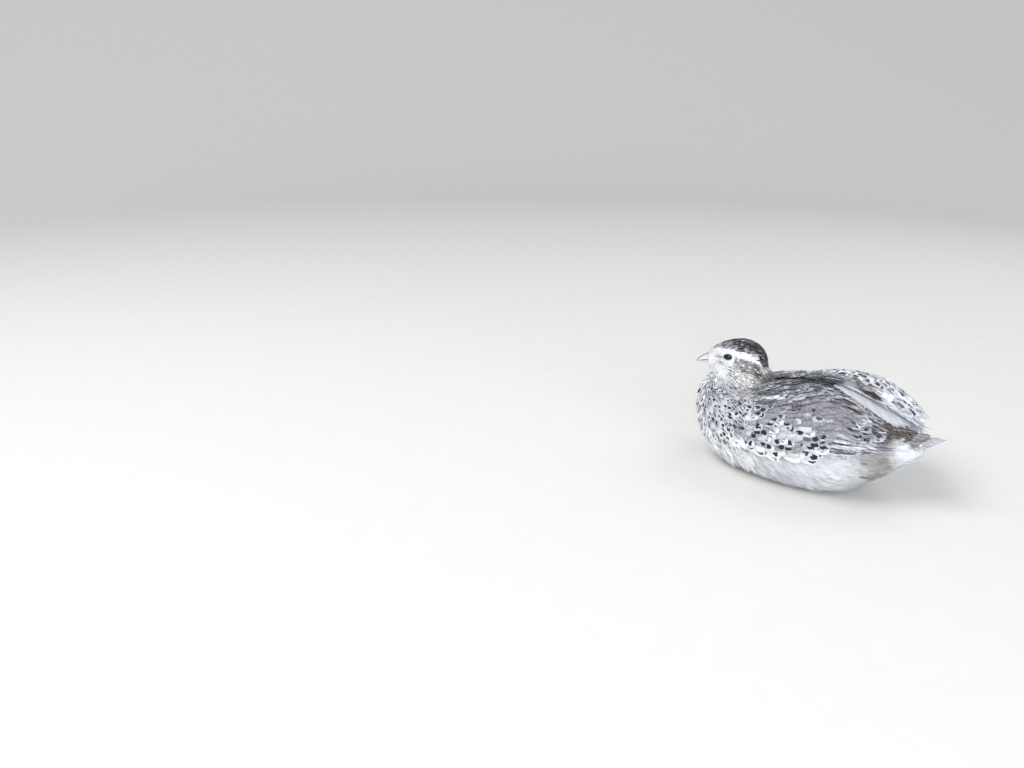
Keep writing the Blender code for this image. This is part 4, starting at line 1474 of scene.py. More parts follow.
def coat_tracts() -> list[Tract]:
    """The tracts of small feathers, from the bill back.

    Returns:
        The tracts, each with its form, spacing, length, half width and lift.
    """
    stub = ((0.0, 0.5), (0.4, 1.0), (0.75, 0.7), (1.0, 0.08))
    tiny = VaneForm(across=2, along=3, camber=0.25, outline=stub)
    narrow = VaneForm(across=2, along=5, barbs=8, camber=0.25, barb_reach=0.16)
    broad = VaneForm(across=4, along=6, barbs=12, camber=0.2, barb_reach=0.10)
    soft = TuftForm(along=4, blades=11, camber=0.3, spread=0.9, blade_width=0.13)
    down = FeatherFinish("quail_down_tufts", barb_count=8.0, bump=0.05, roughness=0.95)
    spots = Slot.SPOTTED
    return [
        Tract("coat_face", Regions.on_face, tiny, 0.68, 2.4, 0.46, 0.62, Seed.FACE, sink=0.1, slot=spots),
        Tract("coat_crown", Regions.on_crown, tiny, 0.78, 3.1, 0.58, 0.9, Seed.CROWN, sink=0.12, slot=spots),
        Tract("coat_neck", Regions.on_neck, narrow, 1.15, 6.5, 0.95, 2.0, Seed.NECK, stray=0.2),
        Tract("coat_breast", Regions.on_breast, narrow, 1.4, 7.8, 1.6, 2.4, Seed.BREAST, stray=0.18),
        Tract("coat_shoulder", Regions.on_shoulder, narrow, 1.7, 9.0, 1.9, 1.9, Seed.SHOULDER, stray=0.16),
        Tract("coat_back", Regions.on_back, broad, 2.0, 9.0, 2.1, 2.2, Seed.BACK),
        Tract("coat_side", Regions.on_side, soft, 1.4, 9.0, 2.1, 2.2, Seed.SIDE, 0.35, 0.2,
              roll=0.1, finish=down),
        Tract("coat_rear", Regions.on_rear, soft, 1.35, 9.0, 2.0, 2.8, Seed.REAR, stray=0.25, finish=down),
    ]


# The wings


class Row(Enum):
    """The kinds of rows that a wing has."""

    PRIMARY = auto()
    SECONDARY = auto()
    TERTIAL = auto()
    COVERT = auto()
    SCAPULAR = auto()
    INNER = auto()
    LOOSE = auto()
    SPOTTED = auto()
    MARGIN = auto()


@dataclass(frozen=True)
class Tier:
    """One row of wing feathers, from its lowest to its highest.

    Roots and tips are distance behind the middle and degrees down from the back.
    """

    row: Row
    count: int
    first_root: Spot
    first_tip: Spot
    last_root: Spot
    last_tip: Spot
    half_width: float
    root_out: float
    tip_out: float
    bow: float = 0.0

    @classmethod
    def short(
        cls, row: Row, count: int, first: Spot, last: Spot, length: float, turns: Spot, *form: float
    ) -> Tier:
        """A row of short feathers, given by its tips."""
        first_root, last_root = ((tip[0] - length, tip[1] + turn) for tip, turn in zip((first, last), turns))
        return cls(row, count, first_root, first, last_root, last, *form)


@dataclass(frozen=True)
class Tips:
    """Where a row's tips lie, with their feathers' looks and two seeded numbers for each."""

    row: Row
    near: bool
    looks: Plumes
    y: Array
    angle: Array
    some: Array
    other: Array
    chance: Chance

    def paint(self) -> None:
        """Marks the feathers in the way of their kind."""
        painters = {
            Row.COVERT: self.paint_coverts,
            Row.SCAPULAR: self.paint_scapulars,
            Row.TERTIAL: self.paint_tertials,
            Row.PRIMARY: self.paint_flight,
            Row.SECONDARY: self.paint_flight,
        }
        painters.get(self.row, self.paint_others)()

    def paint_coverts(self) -> None:
        """Spots on pale grey, round a plain patch in the middle of the wing."""
        lay = self.looks.lay
        y, angle, some, other = self.y, self.angle, self.some, self.other
        lay(1.0, Paint.PALE_GREY, shaft=0.7)
        lay(some < 0.62, spot=1.0)
        lay(some > 0.82, Paint.WHITE, wedge=0.7, shaft=1.0)
        lay(other < 0.3, Paint.LILAC_GREY)
        lay(step_up(angle, 86.0, 95.0) * step_up(y, -30.0, -20.0), Paint.WHITE)
        border = angle + self.chance.normal(0.0, 5.0, len(y)) - 0.35 * np.maximum(y - 5.0, 0.0)
        plain = (1.0 - step_up(border, 53.0, 64.0)) * step_up(y, -14.0, -3.0)
        ground = Paint.LILAC_GREY if self.near else Paint.SILVER
        lay(plain, ground, Paint.SLATE, spot=0.0, wedge=0.0, bars=0.25, shaft=0.05)
        lay(plain * (some < 0.22), mark=Paint.DARK_SLATE, spot=0.9, bars=0.0)
        lay(plain * (other > 0.75), Paint.PALE_GREY)

    def paint_scapulars(self) -> None:
        """Dark mottle with white streaks over the shoulder."""
        lay = self.looks.lay
        y, angle, some, other = self.y, self.angle, self.some, self.other
        lay(1.0, Paint.MID_GREY, Paint.BLACK_BROWN, wedge=0.4, bars=0.7)
        lay(some < 0.25, Paint.SLATE, shaft=1.0, bars=0.5)
        lay(some > 0.7, Paint.LILAC_GREY, Paint.DARK_SLATE, shaft=1.0, bars=0.5)
        lay(other < 0.4, Paint.PALE_GREY, wedge=1.0, shaft=1.0, bars=0.6)
        stripe = bump_at((angle - 36.0 + 0.25 * (y + 10.0)) / 3.0, 0.0) * band(y, -18.0, 6.0, 3.0)
        lay(stripe * (some < 0.55), Paint.WHITE, wedge=0.5, bars=0.0, shaft=1.0)
        lower = step_up(y, 2.0, 14.0) * step_up(angle, 20.0, 32.0)
        lay(lower, Paint.LILAC_GREY, Paint.SLATE, wedge=0.0, spot=0.0, bars=0.3, shaft=0.1)
        lay(lower * (some < 0.3), mark=Paint.BLACK_BROWN, spot=1.0)
        if not self.near:
            outer = step_up(angle, 12.0, 18.0)
            lay(outer, Paint.SILVER, Paint.DARK_SLATE, wedge=0.2, bars=0.1, shaft=1.0)

    def paint_tertials(self) -> None:
        """Dark wedges and spots along the wing's inner edge, plain further out."""
        lay = self.looks.lay
        lay(1.0, Paint.LILAC_GREY, Paint.BLACK_BROWN, bars=0.2, shaft=0.1)
        inner = 1.0 - step_up(self.angle, 22.0, 34.0)
        edge = inner * (self.some < 0.8)
        lay(edge, Paint.LILAC_GREY, Paint.BLACK_BROWN, wedge=1.0, spot=1.0, shaft=0.9)
        lay((1.0 - inner) * (self.some < 0.25), mark=Paint.DARK_SLATE, spot=0.9)
        if not self.near:
            lay(step_up(self.angle, 12.0, 20.0), Paint.SILVER, Paint.SLATE, wedge=0.1, bars=0.2)

    def paint_flight(self) -> None:
        """Pale flight feathers, some with dark wedges."""
        lay = self.looks.lay
        lay(1.0, Paint.PALE_GREY if self.near else Paint.SILVER, bars=0.2, shaft=0.8)
        lay(self.some < 0.36, Paint.MID_GREY, wedge=1.0, bars=0.0)
        lay(self.some > 0.8, Paint.WHITE)
        lay(self.other < 0.45, mark=Paint.SLATE, spot=0.9)

    def paint_others(self) -> None:
        """The rows along the inner edge of either wing."""
        lay = self.looks.lay
        if self.row is Row.INNER:
            lay(1.0, Paint.PALE_GREY, Paint.MID_GREY, bars=0.15, shaft=0.2)
        elif self.row is Row.MARGIN:
            lay(1.0, Paint.LILAC_GREY, Paint.BLACK_BROWN, shaft=0.8)
            lay(self.some < 0.85, spot=1.0)
            lay(self.other < 0.3, Paint.PALE_GREY, wedge=0.6)
            lay(self.other > 0.6, Paint.DARK_SLATE, wedge=0.5, shaft=0.3)
        elif self.row is Row.SPOTTED:
            lay(1.0, Paint.SILVER, Paint.BLACK_BROWN, shaft=1.0)
            lay(self.some > 0.7, Paint.WHITE, wedge=0.6)
        elif self.row is Row.LOOSE:
            lay(1.0, Paint.SILVER, Paint.SLATE, bars=0.1, shaft=0.3)
            lay(1.0 - step_up(self.angle, 4.0, 12.0), Paint.LILAC_GREY, Paint.BLACK_BROWN, wedge=0.5)


@dataclass
class Wing:
    """A folded wing: its covered arm and its feathers in tiers, each lying over the one behind."""

    places: Places
    side: int
    hand: str
    roundness: float = 2.25
    tilt: float = 0.6
    thickness: float = 0.14
    core_sink: float = 2.0
    core_voxel: float = 0.7
    core_rings: int = 26
    core_arc: int = 18
    row_spacing: float = 5.4
    stray: float = 1.1
    # Across the body behind its middle: place, bottom, widest height, top and half width.
    stations: tuple[tuple[float, ...], ...] = (
        (-60.0, 8.0, 39.0, 55.0, 35.0), (-50.0, 3.0, 35.5, 58.0, 41.0), (-33.0, 0.0, 33.0, 62.0, 45.5),
        (-10.0, 0.0, 32.5, 67.0, 47.5), (10.0, 0.0, 33.0, 68.5, 47.0), (28.0, 2.0, 35.0, 64.0, 43.5),
        (42.0, 8.0, 37.0, 57.0, 37.0), (52.0, 15.0, 39.0, 52.0, 31.5), (62.0, 22.0, 41.0, 49.0, 26.0),
        (76.0, 28.0, 42.0, 46.5, 20.0),
    )
    # The arm: place, upper and lower end in degrees down from the back, and depth.
    core: tuple[tuple[float, ...], ...] = (
        (-56.0, 66.0, 84.0, 3.0), (-50.0, 48.0, 94.0, 4.5), (-38.0, 28.0, 101.0, 6.0),
        (-16.0, 12.0, 103.0, 7.0), (4.0, 9.0, 101.0, 7.0), (18.0, 12.0, 96.0, 5.0), (24.0, 18.0, 90.0, 3.4),
    )
    # How far the looser wing is raised about the back, in degrees, and how much further back it reaches.
    lift: tuple[Spot, ...] = (
        (-60.0, 0.0), (-30.0, 0.0), (-5.0, 4.0), (15.0, 15.0), (35.0, 24.0), (48.0, 24.0), (56.0, 15.0),
        (62.0, 6.0),
    )
    reach_start: float = 10.0
    reach_share: float = 0.25

    @property
    def near(self) -> bool:
        """Whether it is the left wing, which is closely folded."""
        return self.side > 0

    def surface(self, y: Array, angle: Array, out: Array) -> Array:
        """Points off the wing's outer face, in the frame.

        Args:
            y: Distance behind the middle.
            angle: Degrees down from the middle of the back.
            out: How far outside the face.

        Returns:
            The points.
        """
        shape = y.shape
        y, angle, out = y.ravel(), angle.ravel(), np.broadcast_to(out, shape).ravel()
        bottom, middle, top, half = eased(self.stations, y).T
        turn = np.radians(angle)
        power = 2.0 / self.roundness
        across = np.sign(np.sin(turn)) * np.abs(np.sin(turn)) ** power
        rise = np.sign(np.cos(turn)) * np.abs(np.cos(turn)) ** power
        height = np.where(rise > 0.0, top - middle, middle - bottom)
        normal = unit(np.stack([across / half, rise / height], axis=1))
        x = half * across + normal[:, 0] * out
        z = middle + height * rise + normal[:, 1] * out
        if not self.near:
            raised = np.radians(eased(self.lift, y)[:, 0])
            level, sine, cosine = z - top, np.sin(raised), np.cos(raised)
            x, z = x * cosine - level * sine, top + x * sine + level * cosine
            y = y + self.reach_share * np.maximum(y - self.reach_start, 0.0)
        points = np.stack([x * self.side, y, z], axis=1)
        return self.places.frame(points).reshape(*shape, 3)

    def ring(self, y: float) -> Array:
        """One cross-section of the arm: along its outer face and back along its inner one."""
        upper, lower, depth = eased(self.core, np.array([y]))[0]
        angles = np.linspace(upper, lower, self.core_arc)
        around = np.concatenate([angles, angles[::-1]])
        out = np.concatenate([np.zeros(self.core_arc), np.full(self.core_arc, -depth * 0.8)]) - self.core_sink
        return self.surface(np.full(self.core_arc * 2, y), around, out)

    def build_arm(self) -> Piece:
        """The arm and hand under the feathers, drawn out ring by ring and closed at both ends.

        Returns:
            The arm.
        """
        shape = bmesh.new()
        start = bmesh.ops.create_circle(shape, cap_ends=False, segments=self.core_arc * 2, radius=1.0)
        loop = sorted(start["verts"], key=lambda vert: math.atan2(vert.co.y, vert.co.x))
        edges = list(shape.edges)
        for face in bmesh.ops.contextual_create(shape, geom=edges)["faces"]:
            face.normal_flip()
        for ring, y in enumerate(np.linspace(self.core[0][0], self.core[-1][0], self.core_rings)):
            if ring:
                made = bmesh.ops.extrude_edge_only(shape, edges=edges)["geom"]
                edges = [item for item in made if isinstance(item, bmesh.types.BMEdge)]
                fresh = {item for item in made if isinstance(item, bmesh.types.BMVert)}
                ahead = {edge.other_vert(vert): vert for vert in fresh for edge in vert.link_edges}
                loop = [ahead[vert] for vert in loop]
            for vert, point in zip(loop, self.ring(y)):
                vert.co = point
        bmesh.ops.contextual_create(shape, geom=edges)
        bmesh.ops.recalc_face_normals(shape, faces=shape.faces)
        obj = object_from_bmesh(f"wing_{self.hand}_arm", shape)
        with_modifier(obj, "REMESH", mode="VOXEL", voxel_size=self.core_voxel * MM)
        with_modifier(obj, "SMOOTH", factor=0.5, iterations=4)
        obj.data.shade_smooth()
        shade = np.array(Paint.PALE_GREY.value) * 0.6
        paint_points(obj.data, "ground", np.tile(shade, (len(obj.data.vertices), 1)))
        return finish_piece(obj, SkinFinish(), Slot.SPOTTED)

    def tiers(self) -> list[Tier]:
        """The rows of feathers, rear rows first.

        Returns:
            The rows.
        """
        short = Tier.short
        tiers = [] if self.near else self.loose_tiers()
        far_tip = 60.0 if self.near else 52.0
        tiers += [
            Tier(Row.PRIMARY, 12, (12, 94), (48, 84), (10, 82), (far_tip, 66), 2.6, -3.6, -2.2, -2.0),
            Tier(Row.SECONDARY, 12, (4, 90), (42, 89), (4, 58), (54, 55), 3.0, -3.0, -1.4, -1.5),
            Tier(Row.TERTIAL, 8, (2, 52), (55, 54), (-2, 14), (47, 12), 4.2, -2.6, -0.9),
            Tier(Row.TERTIAL, 8, (-4, 48), (47, 48), (-6, 12), (39, 9), 3.8, -2.6, -0.6),
            Tier(Row.TERTIAL, 8, (-12, 46), (38, 45), (-14, 12), (30, 8), 3.4, -2.6, -0.4),
        ]
        for k in range(3 if self.near else 0):
            ahead, stagger = 5.6 * k, (k % 2) * 2.6
            first, last = (54.0 - ahead, 52.0 + stagger), (47.0 - ahead, 12.0 + stagger)
            tiers.append(short(Row.MARGIN, 9, first, last, 12.0, (0.0, 0.0), 3.7, -2.2, -0.5 + 0.05 * k))
        for k in range(13):
            back = 29.0 - self.row_spacing * k
            stagger = 1.7 if k % 2 else -1.7
            low = 91.0 + 1.4 * min(k, 4) - 1.2 * max(k - 8, 0) + stagger
            high = 46.0 + 1.3 * max(k - 5, 0) + stagger
            first, last, length = (back - 2.0, low), (back + 3.0, high), 14.0 - 0.3 * k
            tiers.append(short(Row.COVERT, 10, first, last, length, (0.5, -1.0), 3.1, -2.9, -0.25 - 0.02 * k))
        for k in range(10):
            back = 30.0 - 5.2 * k
            stagger = 1.5 if k % 2 else -1.5
            first, last = (back + 1.0, 42.0 + stagger), (back - 3.0, 9.0 + stagger)
            tiers.append(short(Row.SCAPULAR, 8, first, last, 15.0, (1.0, 2.0), 3.0, -2.8, -0.15 + 0.02 * k))
        return tiers

    def loose_tiers(self) -> list[Tier]:
        """The rows that only the raised wing shows.

        Returns:
            The rows.
        """
        tiers = [
            Tier(Row.INNER, 7, (22, 40), (55, 36), (16, 8), (54, 4), 5.0, -5.0, -10.0),
            Tier(Row.INNER, 6, (18, 34), (54, 30), (14, 6), (50, 3), 5.0, -4.0, -6.5),
            Tier(Row.LOOSE, 8, (14, 54), (53, 48), (10, 12), (57, 12), 4.6, -3.0, -1.5),
            Tier(Row.LOOSE, 7, (8, 48), (49, 46), (4, 8), (47, 6), 4.2, -2.8, -1.0),
        ]
        short = Tier.short
        for k in range(7):
            back, stagger = 52.0 - self.row_spacing * k, (k % 2) * 3.0
            first, last = (back - 3.0, 48.0 + stagger), (back, 14.0 + stagger)
            tiers.append(short(Row.SPOTTED, 9, first, last, 13.0, (0.0, 0.0), 3.5, -2.4, -0.5 + 0.04 * k))
        return tiers

    def build_tier(self, tier: Tier, number: int, form: VaneForm) -> tuple[Array, Plumes]:
        """Draws one tier's feathers on the wing's face.

        Args:
            tier: The tier.
            number: Its place among the tiers.
            form: The form that the feathers share.

        Returns:
            Their corners, feathers by corners by 3, and their looks.
        """
        chance = np.random.default_rng(Seed.WING_TIER_STEP * number + Seed.WING_TIER + self.side)
        share = np.linspace(0.0, 1.0, tier.count)[:, None]
        root = np.array(tier.first_root) * (1.0 - share) + np.array(tier.last_root) * share
        tip = np.array(tier.first_tip) * (1.0 - share) + np.array(tier.last_tip) * share
        stray = np.array([self.stray, self.stray * 1.3])
        moved = chance.normal(0.0, 1.0, root.shape) * stray
        root = root + moved
        tip = tip + moved + chance.normal(0.0, 0.5, tip.shape) * stray
        template = form.template()
        along = template.forward[None]
        y = root[:, :1] + (tip[:, :1] - root[:, :1]) * along
        angle = root[:, 1:] + (tip[:, 1:] - root[:, 1:]) * along + tier.bow * np.sin(along * math.pi)
        flat = np.zeros_like(y)
        turned = self.surface(y, angle + 1.0, flat) - self.surface(y, angle, flat)
        degree = np.linalg.norm(turned, axis=2) / MM
        half = tier.half_width * chance.uniform(0.92, 1.08, (tier.count, 1))
        across = template.lateral[None] * half / np.maximum(degree, 0.2)
        out = tier.root_out + (tier.tip_out - tier.root_out) * along
        out = out + self.tilt * template.lateral[None] + template.rise[None] - form.camber
        out = out + chance.normal(0.0, 0.12, (tier.count, 1)) * along
        return self.surface(y, angle + across, out), self.looks(tier.row, tip, chance)

    def looks(self, row: Row, tip: Array, chance: Chance) -> Plumes:
        """The look of one tier's feathers, by the place of their tips.

        Args:
            row: The kind of row that they stand in.
            tip: Each tip's distance behind the middle and degrees down from the back.
            chance: Its seeded chance.

        Returns:
            The looks.
        """
        count = len(tip)
        looks = Plumes.plain(count, Paint.LILAC_GREY if self.near else Paint.SILVER, Paint.DARK_SLATE)
        tips = Tips(row, self.near, looks, *tip.T, chance.random(count), chance.random(count), chance)
        tips.paint()
        if not self.near and row is not Row.INNER:
            outer = step_up(tips.angle, 12.0, 18.0)
            looks.lay(outer * (tips.some < 0.68), mark=Paint.BLACK_BROWN, spot=1.0, wedge=0.2, shaft=1.0)
            looks.lay(outer * (tips.other < 0.3), Paint.WHITE)
        looks.ground *= chance.normal(1.0, 0.09, (count, 1))
        return looks

    def build(self, ground: Ground) -> Piece:
        """Makes the wing's feathers as one piece.

        Args:
            ground: The skin, for the bake map.

        Returns:
            The piece.
        """
        outline = ((0, 0.45), (0.2, 0.85), (0.45, 1), (0.75, 0.93), (0.88, 0.72), (0.96, 0.42), (1, 0.06))
        form = VaneForm(across=6, along=11, camber=0.35, barbs=14, barb_reach=0.09, outline=outline)
        parts = [self.build_tier(tier, number, form) for number, tier in enumerate(self.tiers())]
        points = np.concatenate([part[0] for part in parts])
        looks = Plumes.joined([part[1] for part in parts])
        chance = np.random.default_rng(Seed.WING + self.side)
        bake = ground.bake_places(points[:, 0])
        obj = plume_object(f"wing_{self.hand}_feathers", form.template(), points, looks, bake, chance)
        thicken(obj, self.thickness)
        finish = FeatherFinish("quail_wing_feathers", 44.0, 0.5, 0.4, roughness=0.65)
        return finish_piece(obj, finish, Slot.SPOTTED, f"wing_{self.hand}")


# The tail


@dataclass(frozen=True)
class TailRow:
    """A row of tail feathers on each side: the middle one's root and tip, and how the outermost differs."""

    count: int
    root: Point
    tip: Point
    root_spread: Point
    tip_spread: Point
    half_width: float
    ground: Paint
    mark: Paint
    marks: tuple[float, float, float, float]


@dataclass
class Tail:
    """The short pointed tail, shaped like a low roof, with coverts above and below."""

    places: Places
    slope: float = 0.28
    droop: float = 0.5
    thickness: float = 0.12
    root_stray: float = 0.2
    tip_stray: float = 0.35
    rows: tuple[TailRow, ...] = (
        TailRow(5, (1.6, 62.0, 43.2), (1.4, 83.5, 46.9), (5.5, 0.0, -1.6), (8.5, -8.0, -3.8), 3.0,
                Paint.PALE_GREY, Paint.BROWN_GREY, (0.0, 0.3, 0.4, 0.9)),
        TailRow(4, (1.4, 57.0, 44.8), (1.8, 75.0, 47.4), (6.5, 0.0, -2.2), (6.5, -4.0, -2.8), 3.2,
                Paint.LILAC_GREY, Paint.BLACK_BROWN, (0.0, 0.4, 0.4, 1.0)),
        TailRow(4, (1.4, 52.0, 46.6), (1.4, 67.5, 47.9), (7.0, 0.0, -3.0), (7.5, -3.0, -3.8), 3.2,
                Paint.BROWN_GREY, Paint.BLACK_BROWN, (0.0, 0.6, 0.6, 0.6)),
        TailRow(3, (1.8, 62.0, 40.6), (2.0, 77.5, 43.4), (5.0, 0.0, 0.6), (5.5, -5.0, 0.1), 3.4,
                Paint.WHITE, Paint.BROWN_GREY, (0.0, 0.0, 0.1, 0.2)),
    )  # fmt: skip

    def feather(self, row: TailRow, share: float, template: Template, chance: Chance) -> Array:
        """Draws one feather of a row."""
        root = np.array(row.root) + share * np.array(row.root_spread) + chance.normal(0.0, self.root_stray, 3)
        tip = np.array(row.tip) + share * np.array(row.tip_spread) + chance.normal(0.0, self.tip_stray, 3)
        along = template.forward[:, None]
        slant, up = unit(np.array([[1.0, 0.0, -self.slope], [self.slope, 0.0, 1.0]]))
        rise = template.rise * row.half_width - self.droop * np.maximum(template.lateral, 0.0)
        flat = root * (1.0 - along) + tip * along + slant * (template.lateral * row.half_width)[:, None]
        return flat + up * rise[:, None]

    def build(self, ground: Ground) -> Piece:
        """Makes the tail as one piece.

        Args:
            ground: The skin, for the bake map.

        Returns:
            The piece.
        """
        chance = np.random.default_rng(Seed.TAIL)
        outline = ((0.0, 0.5), (0.35, 1.0), (0.7, 0.9), (0.9, 0.5), (1.0, 0.08))
        form = VaneForm(across=4, along=12, camber=0.12, barbs=14, barb_reach=0.05, outline=outline)
        template = form.template()
        parts, looks = [], []
        for row in self.rows:
            for side in (1.0, -1.0):
                for k in range(row.count):
                    points = self.feather(row, k / (row.count - 1), template, chance)
                    parts.append(self.places.frame(points * np.array([side, 1.0, 1.0])))
                    look = Plumes.plain(1, row.ground, row.mark)
                    look.marks[:] = row.marks
                    look.ground *= chance.normal(1.0, 0.06)
                    looks.append(look)
        points = np.stack(parts)
        bake = ground.bake_places(points[:, 0])
        obj = plume_object("tail_feathers", template, points, Plumes.joined(looks), bake, chance)
        thicken(obj, self.thickness)
        finish = FeatherFinish("quail_tail_feathers", 50.0, 0.5, 0.5, roughness=0.65)
        return finish_piece(obj, finish, Slot.PALE, "tail")


# Bill, eyes and feet


@dataclass
class Bill:
    """Both halves of the bill, smoothed from their solids, darker along the ridge."""

    places: Places
    voxel: float = 0.16
    # The line that parts ridge from side: distance ahead of the head's centre and height.
    ridge_line: tuple[Spot, ...] = ((20.6, 0.5), (23.2, -0.6), (25.3, -2.2), (27.0, -4.0), (27.9, -5.5))
    lower_tone: float = 0.04

    def build(self) -> None:
        """Makes both halves."""
        finish = HornFinish("quail_bill_horn", (0.66, 0.62, 0.65), (0.24, 0.235, 0.29), 0.38, 1600.0, 0.25)
        for node in ("bill_upper", "bill_lower"):
            obj = smooth_form(f"{node}_horn", solid_copy([node], SLIGHT_GROWTH), self.voxel, 3)
            head = self.places.head(points_of(obj.data))
            line = np.interp(-head[:, 1], *np.array(self.ridge_line).T)
            ridge = step_up(head[:, 2] - line, -1.5, -0.2) * 0.8 + step_up(-head[:, 1], 25.0, 28.0) * 0.25
            zone = np.clip(ridge, 0.0, 1.0) if node == "bill_upper" else np.full(len(head), self.lower_tone)
            paint_points(obj.data, "zone", zone)
            finish_piece(obj, finish, Slot.BILL, node)


@dataclass
class Eyes:
    """Dark glossy eyes behind oval lids."""

    places: Places
    radius: float = 3.5
    half_length: float = 2.3
    half_height: float = 1.3
    lid_end_deg: float = 82.0
    lid_steps: int = 72
    # The lid in section: share of the way from its edge to its end, and height over the eyeball.
    lid_section: tuple[Spot, ...] = (
        (0.05, 0.02), (0.0, 0.16), (0.03, 0.36), (0.1, 0.45), (0.2, 0.40), (0.3, 0.30), (0.5, 0.26),
        (1.0, 0.2),
    )

    def build(self) -> None:
        """Makes eyes and lids on both sides."""
        eye_finish = HornFinish("quail_eye", (0.002, 0.0015, 0.0015), (0.006, 0.004, 0.003), 0.04, 500.0, 0.0)
        lid_finish = HornFinish("quail_eyelid", (0.022, 0.020, 0.022), (0.46, 0.45, 0.45), 0.6, 2500.0, 0.5)
        for side, hand in ((1, "left"), (-1, "right")):
            own = (self.places.eye_centre, self.places.eye_look)
            centre, look = (Vector((x * side, y, z)) for x, y, z in own)
            look.normalize()
            turn = Matrix.Translation(centre) @ look.to_track_quat("Z", "Y").to_matrix().to_4x4()
            ball = bmesh.new()
            bmesh.ops.create_uvsphere(ball, u_segments=40, v_segments=24, radius=self.radius)
            eye = self.placed(f"eye_{hand}_ball", ball, turn)
            middle, ahead = self.places.from_head(np.array([centre[:], (centre + look)[:]]))
            outward = (points_of(eye.data) - middle) @ unit(ahead - middle) / (self.radius * MM)
            paint_points(eye.data, "zone", band(outward, 0.80, 0.93, 0.03))
            finish_piece(eye, eye_finish, Slot.EYE, f"eye_{hand}")
            shape, share = self.lid()
            lid = self.placed(f"eye_{hand}_lid", shape, turn)
            paint_points(lid.data, "zone", step_up(share, 0.10, 0.22))
            finish_piece(lid, lid_finish, Slot.SPOTTED)

    def lid(self) -> tuple[Form, Array]:
        """Both lids as one sheet round the eyeball.

        Returns:
            The sheet, and each corner's share of the way from edge to end.
        """
        shape = spun([(1.0 + share, height) for share, height in self.lid_section], self.lid_steps)
        shares = []
        for vert in shape.verts:
            far = math.hypot(vert.co.x, vert.co.y)
            along, up = vert.co.x / far, vert.co.y / far
            edge = 1.0 / math.hypot(along / self.half_length, up / self.half_height)
            start = math.asin(edge / self.radius)
            turn = start + (math.radians(self.lid_end_deg) - start) * (far - 1.0)
            reach = self.radius + vert.co.z
            flat = reach * math.sin(turn)
            vert.co = Vector((flat * along, flat * up, reach * math.cos(turn)))
            shares.append(far - 1.0)
        shape.normal_update()
        if sum(face.normal.dot(face.calc_center_median()) for face in shape.faces) < 0.0:
            bmesh.ops.reverse_faces(shape, faces=shape.faces)
        return shape, np.array(shares)

    def placed(self, name: str, shape: Form, turn: Matrix) -> Piece:
        """Sets a form from the eye's own axes in the head."""
        shape.transform(turn)
        points = self.places.from_head(np.array([vert.co[:] for vert in shape.verts]))
        for vert, point in zip(shape.verts, points):
            vert.co = point
        shape.normal_update()
        return object_from_bmesh(name, shape)


@dataclass
class Feet:
    """Shanks, toes and claws folded under the belly, smoothed from their solids."""

    leg_voxel: float = 0.35
    claw_voxel: float = 0.16

    def build(self) -> None:
        """Makes both legs and all claws."""
        tones = (0.62, 0.42, 0.33), (0.40, 0.25, 0.20)
        skin = HornFinish("quail_leg_skin", *tones, 0.55, 700.0, 0.6, scales=900.0)
        horn = HornFinish("quail_claw_horn", (0.30, 0.24, 0.20), (0.12, 0.09, 0.08), 0.35, 1500.0, 0.2)
        for hand in ("left", "right"):
            pieces = [(f"leg_{hand}", self.leg_voxel, skin, Slot.LEG)]
            pieces += [(f"claw_{hand}_{k}", self.claw_voxel, horn, Slot.CLAW) for k in range(1, 5)]
            for node, voxel, finish, slot in pieces:
                obj = smooth_form(f"{node}_piece", solid_copy([node], SLIGHT_GROWTH), voxel, 2)
                points = points_of(obj.data)
                points[:, 2] = np.maximum(points[:, 2], SOLE_FLOOR * MM)
                move_points(obj.data, points)
                paint_points(obj.data, "zone", step_up(points[:, 1] / MM, -38.0, 20.0) * 0.5)
                finish_piece(obj, finish, slot, node)


# Camera, floor and light


@dataclass(frozen=True)
class PhotoView:
    """Where the camera stands in the body's axes, as the photograph's own framing has it."""

    places: Places
    station: Point = (514.55, 140.0, 246.0)
    heading_deg: float = 37.0
    pitch_deg: float = 20.7
    roll_deg: float = 1.3
    lens: float = 28.09
    sensor: float = 36.0
    clip_metres: Spot = (0.01, 50.0)

    def build(self) -> None:
        """Makes the camera and gives it to the scene."""
        heading, pitch, roll = (math.radians(x) for x in (self.heading_deg, self.pitch_deg, self.roll_deg))
        right = Vector((-math.sin(heading), math.cos(heading), 0.0))
        level = Vector((-math.cos(heading), -math.sin(heading), 0.0))
        forward = level * math.cos(pitch) - Vector((0.0, 0.0, math.sin(pitch)))
        up = right.cross(forward)
        across = right * math.cos(roll) + up * math.sin(roll)
        up = up * math.cos(roll) - right * math.sin(roll)
        data = bpy.data.cameras.new("camera")
        data.lens, data.sensor_width = self.lens, self.sensor
        data.clip_start, data.clip_end = self.clip_metres
        camera = bpy.data.objects.new("camera", data)
        camera.matrix_world = Matrix((across, up, -forward)).transposed().to_4x4()
        camera.location = self.places.frame(np.array([self.station]))[0]
        bpy.context.scene.collection.objects.link(camera)
        bpy.context.scene.camera = camera


@dataclass(frozen=True)
class Lamp:
    """A soft square lamp that looks at the hen, its place and size in metres and its power in watts."""

    name: str
    place: Point
    power: float
    size: float
    colour: Colour = (0.95, 0.97, 1.0)

    def build(self) -> None:
        """Hangs the lamp."""
        data = bpy.data.lights.new(self.name, "AREA")
        data.energy, data.size, data.color = self.power, self.size, self.colour
        lamp = bpy.data.objects.new(self.name, data)
        lamp.location = self.place
        lamp.rotation_euler = (-Vector(self.place)).to_track_quat("-Z", "Y").to_euler()
        bpy.context.scene.collection.objects.link(lamp)


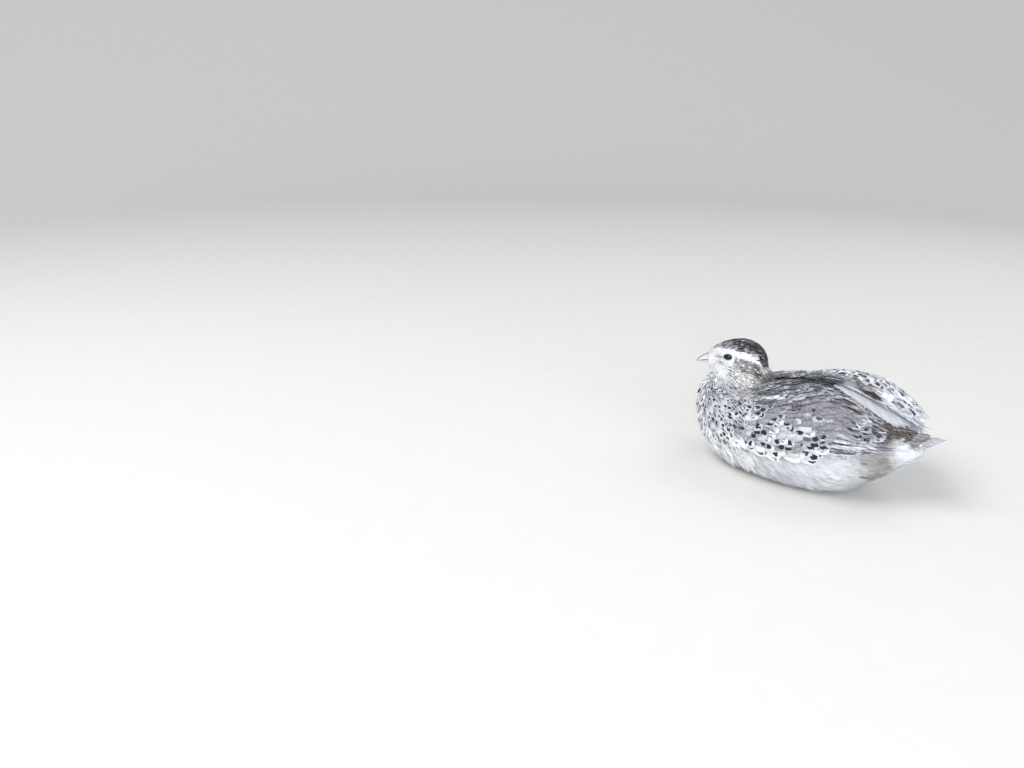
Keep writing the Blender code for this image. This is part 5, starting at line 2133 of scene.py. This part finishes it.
@dataclass(frozen=True)
class Studio:
    """A plain pale floor that curves up at its far edge, under soft light."""

    floor_metres: float = 1.4
    curve_metres: float = 0.6
    sky: Colour = (0.93, 0.95, 1.0)
    sky_strength: float = 0.6
    # The lamp named catch shows as the small light in her left eye.
    lamps: tuple[Lamp, ...] = (
        Lamp("key", (0.75, -0.55, 1.15), 12.5, 0.8, (1.0, 0.985, 0.96)),
        Lamp("fill", (0.62, 1.0, 0.34), 6.0, 0.8),
        Lamp("catch", (1.122, 0.457, 0.365), 4.0, 0.18, (0.97, 0.98, 1.0)),
        Lamp("back", (-0.8, 0.3, 1.0), 4.0, 0.9),
    )

    def build(self) -> None:
        """Makes floor, lights and sky."""
        self.floor()
        for lamp in self.lamps:
            lamp.build()
        world = bpy.data.worlds.new("studio")
        world.use_nodes = True
        sky = world.node_tree.nodes["Background"].inputs
        sky[0].default_value, sky[1].default_value = (*self.sky, 1.0), self.sky_strength
        bpy.context.scene.world = world
        bpy.context.scene.view_settings.view_transform = "Standard"

    def floor(self) -> None:
        """A floor spun from a line that bends up at its end."""
        flat, bend = self.floor_metres, self.curve_metres
        line = [(0.0, 0.0), (bend, 0.0), (flat, 0.0)]
        line += [(flat + bend * math.sin(t), bend - bend * math.cos(t)) for t in np.linspace(0.15, 1.35, 8)]
        shape = spun(line, 64)
        if sum(face.normal.z for face in shape.faces) < 0.0:
            bmesh.ops.reverse_faces(shape, faces=shape.faces)
        floor = object_from_bmesh("floor", shape)
        floor.data.materials.append(FloorFinish().material())


def main() -> None:
    """Builds the hen piece by piece."""
    logging.basicConfig(level=logging.INFO, format="%(name)s %(message)s")
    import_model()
    places = Places()
    markings = Markings(places)
    skin = Skin(places, markings).build()
    wings = [Wing(places, side, hand) for side, hand in ((1, "left"), (-1, "right"))]
    ground = Ground(places, [skin, *(wing.build_arm() for wing in wings)])
    coat = Coat(places, markings, ground)
    for tract in coat_tracts():
        coat.build(tract)
    for wing in wings:
        wing.build(ground)
    Tail(places).build(ground)
    Bill(places).build()
    Eyes(places).build()
    Feet().build()
    PhotoView(places).build()
    Studio().build()


if __name__ == "__main__":
    main()
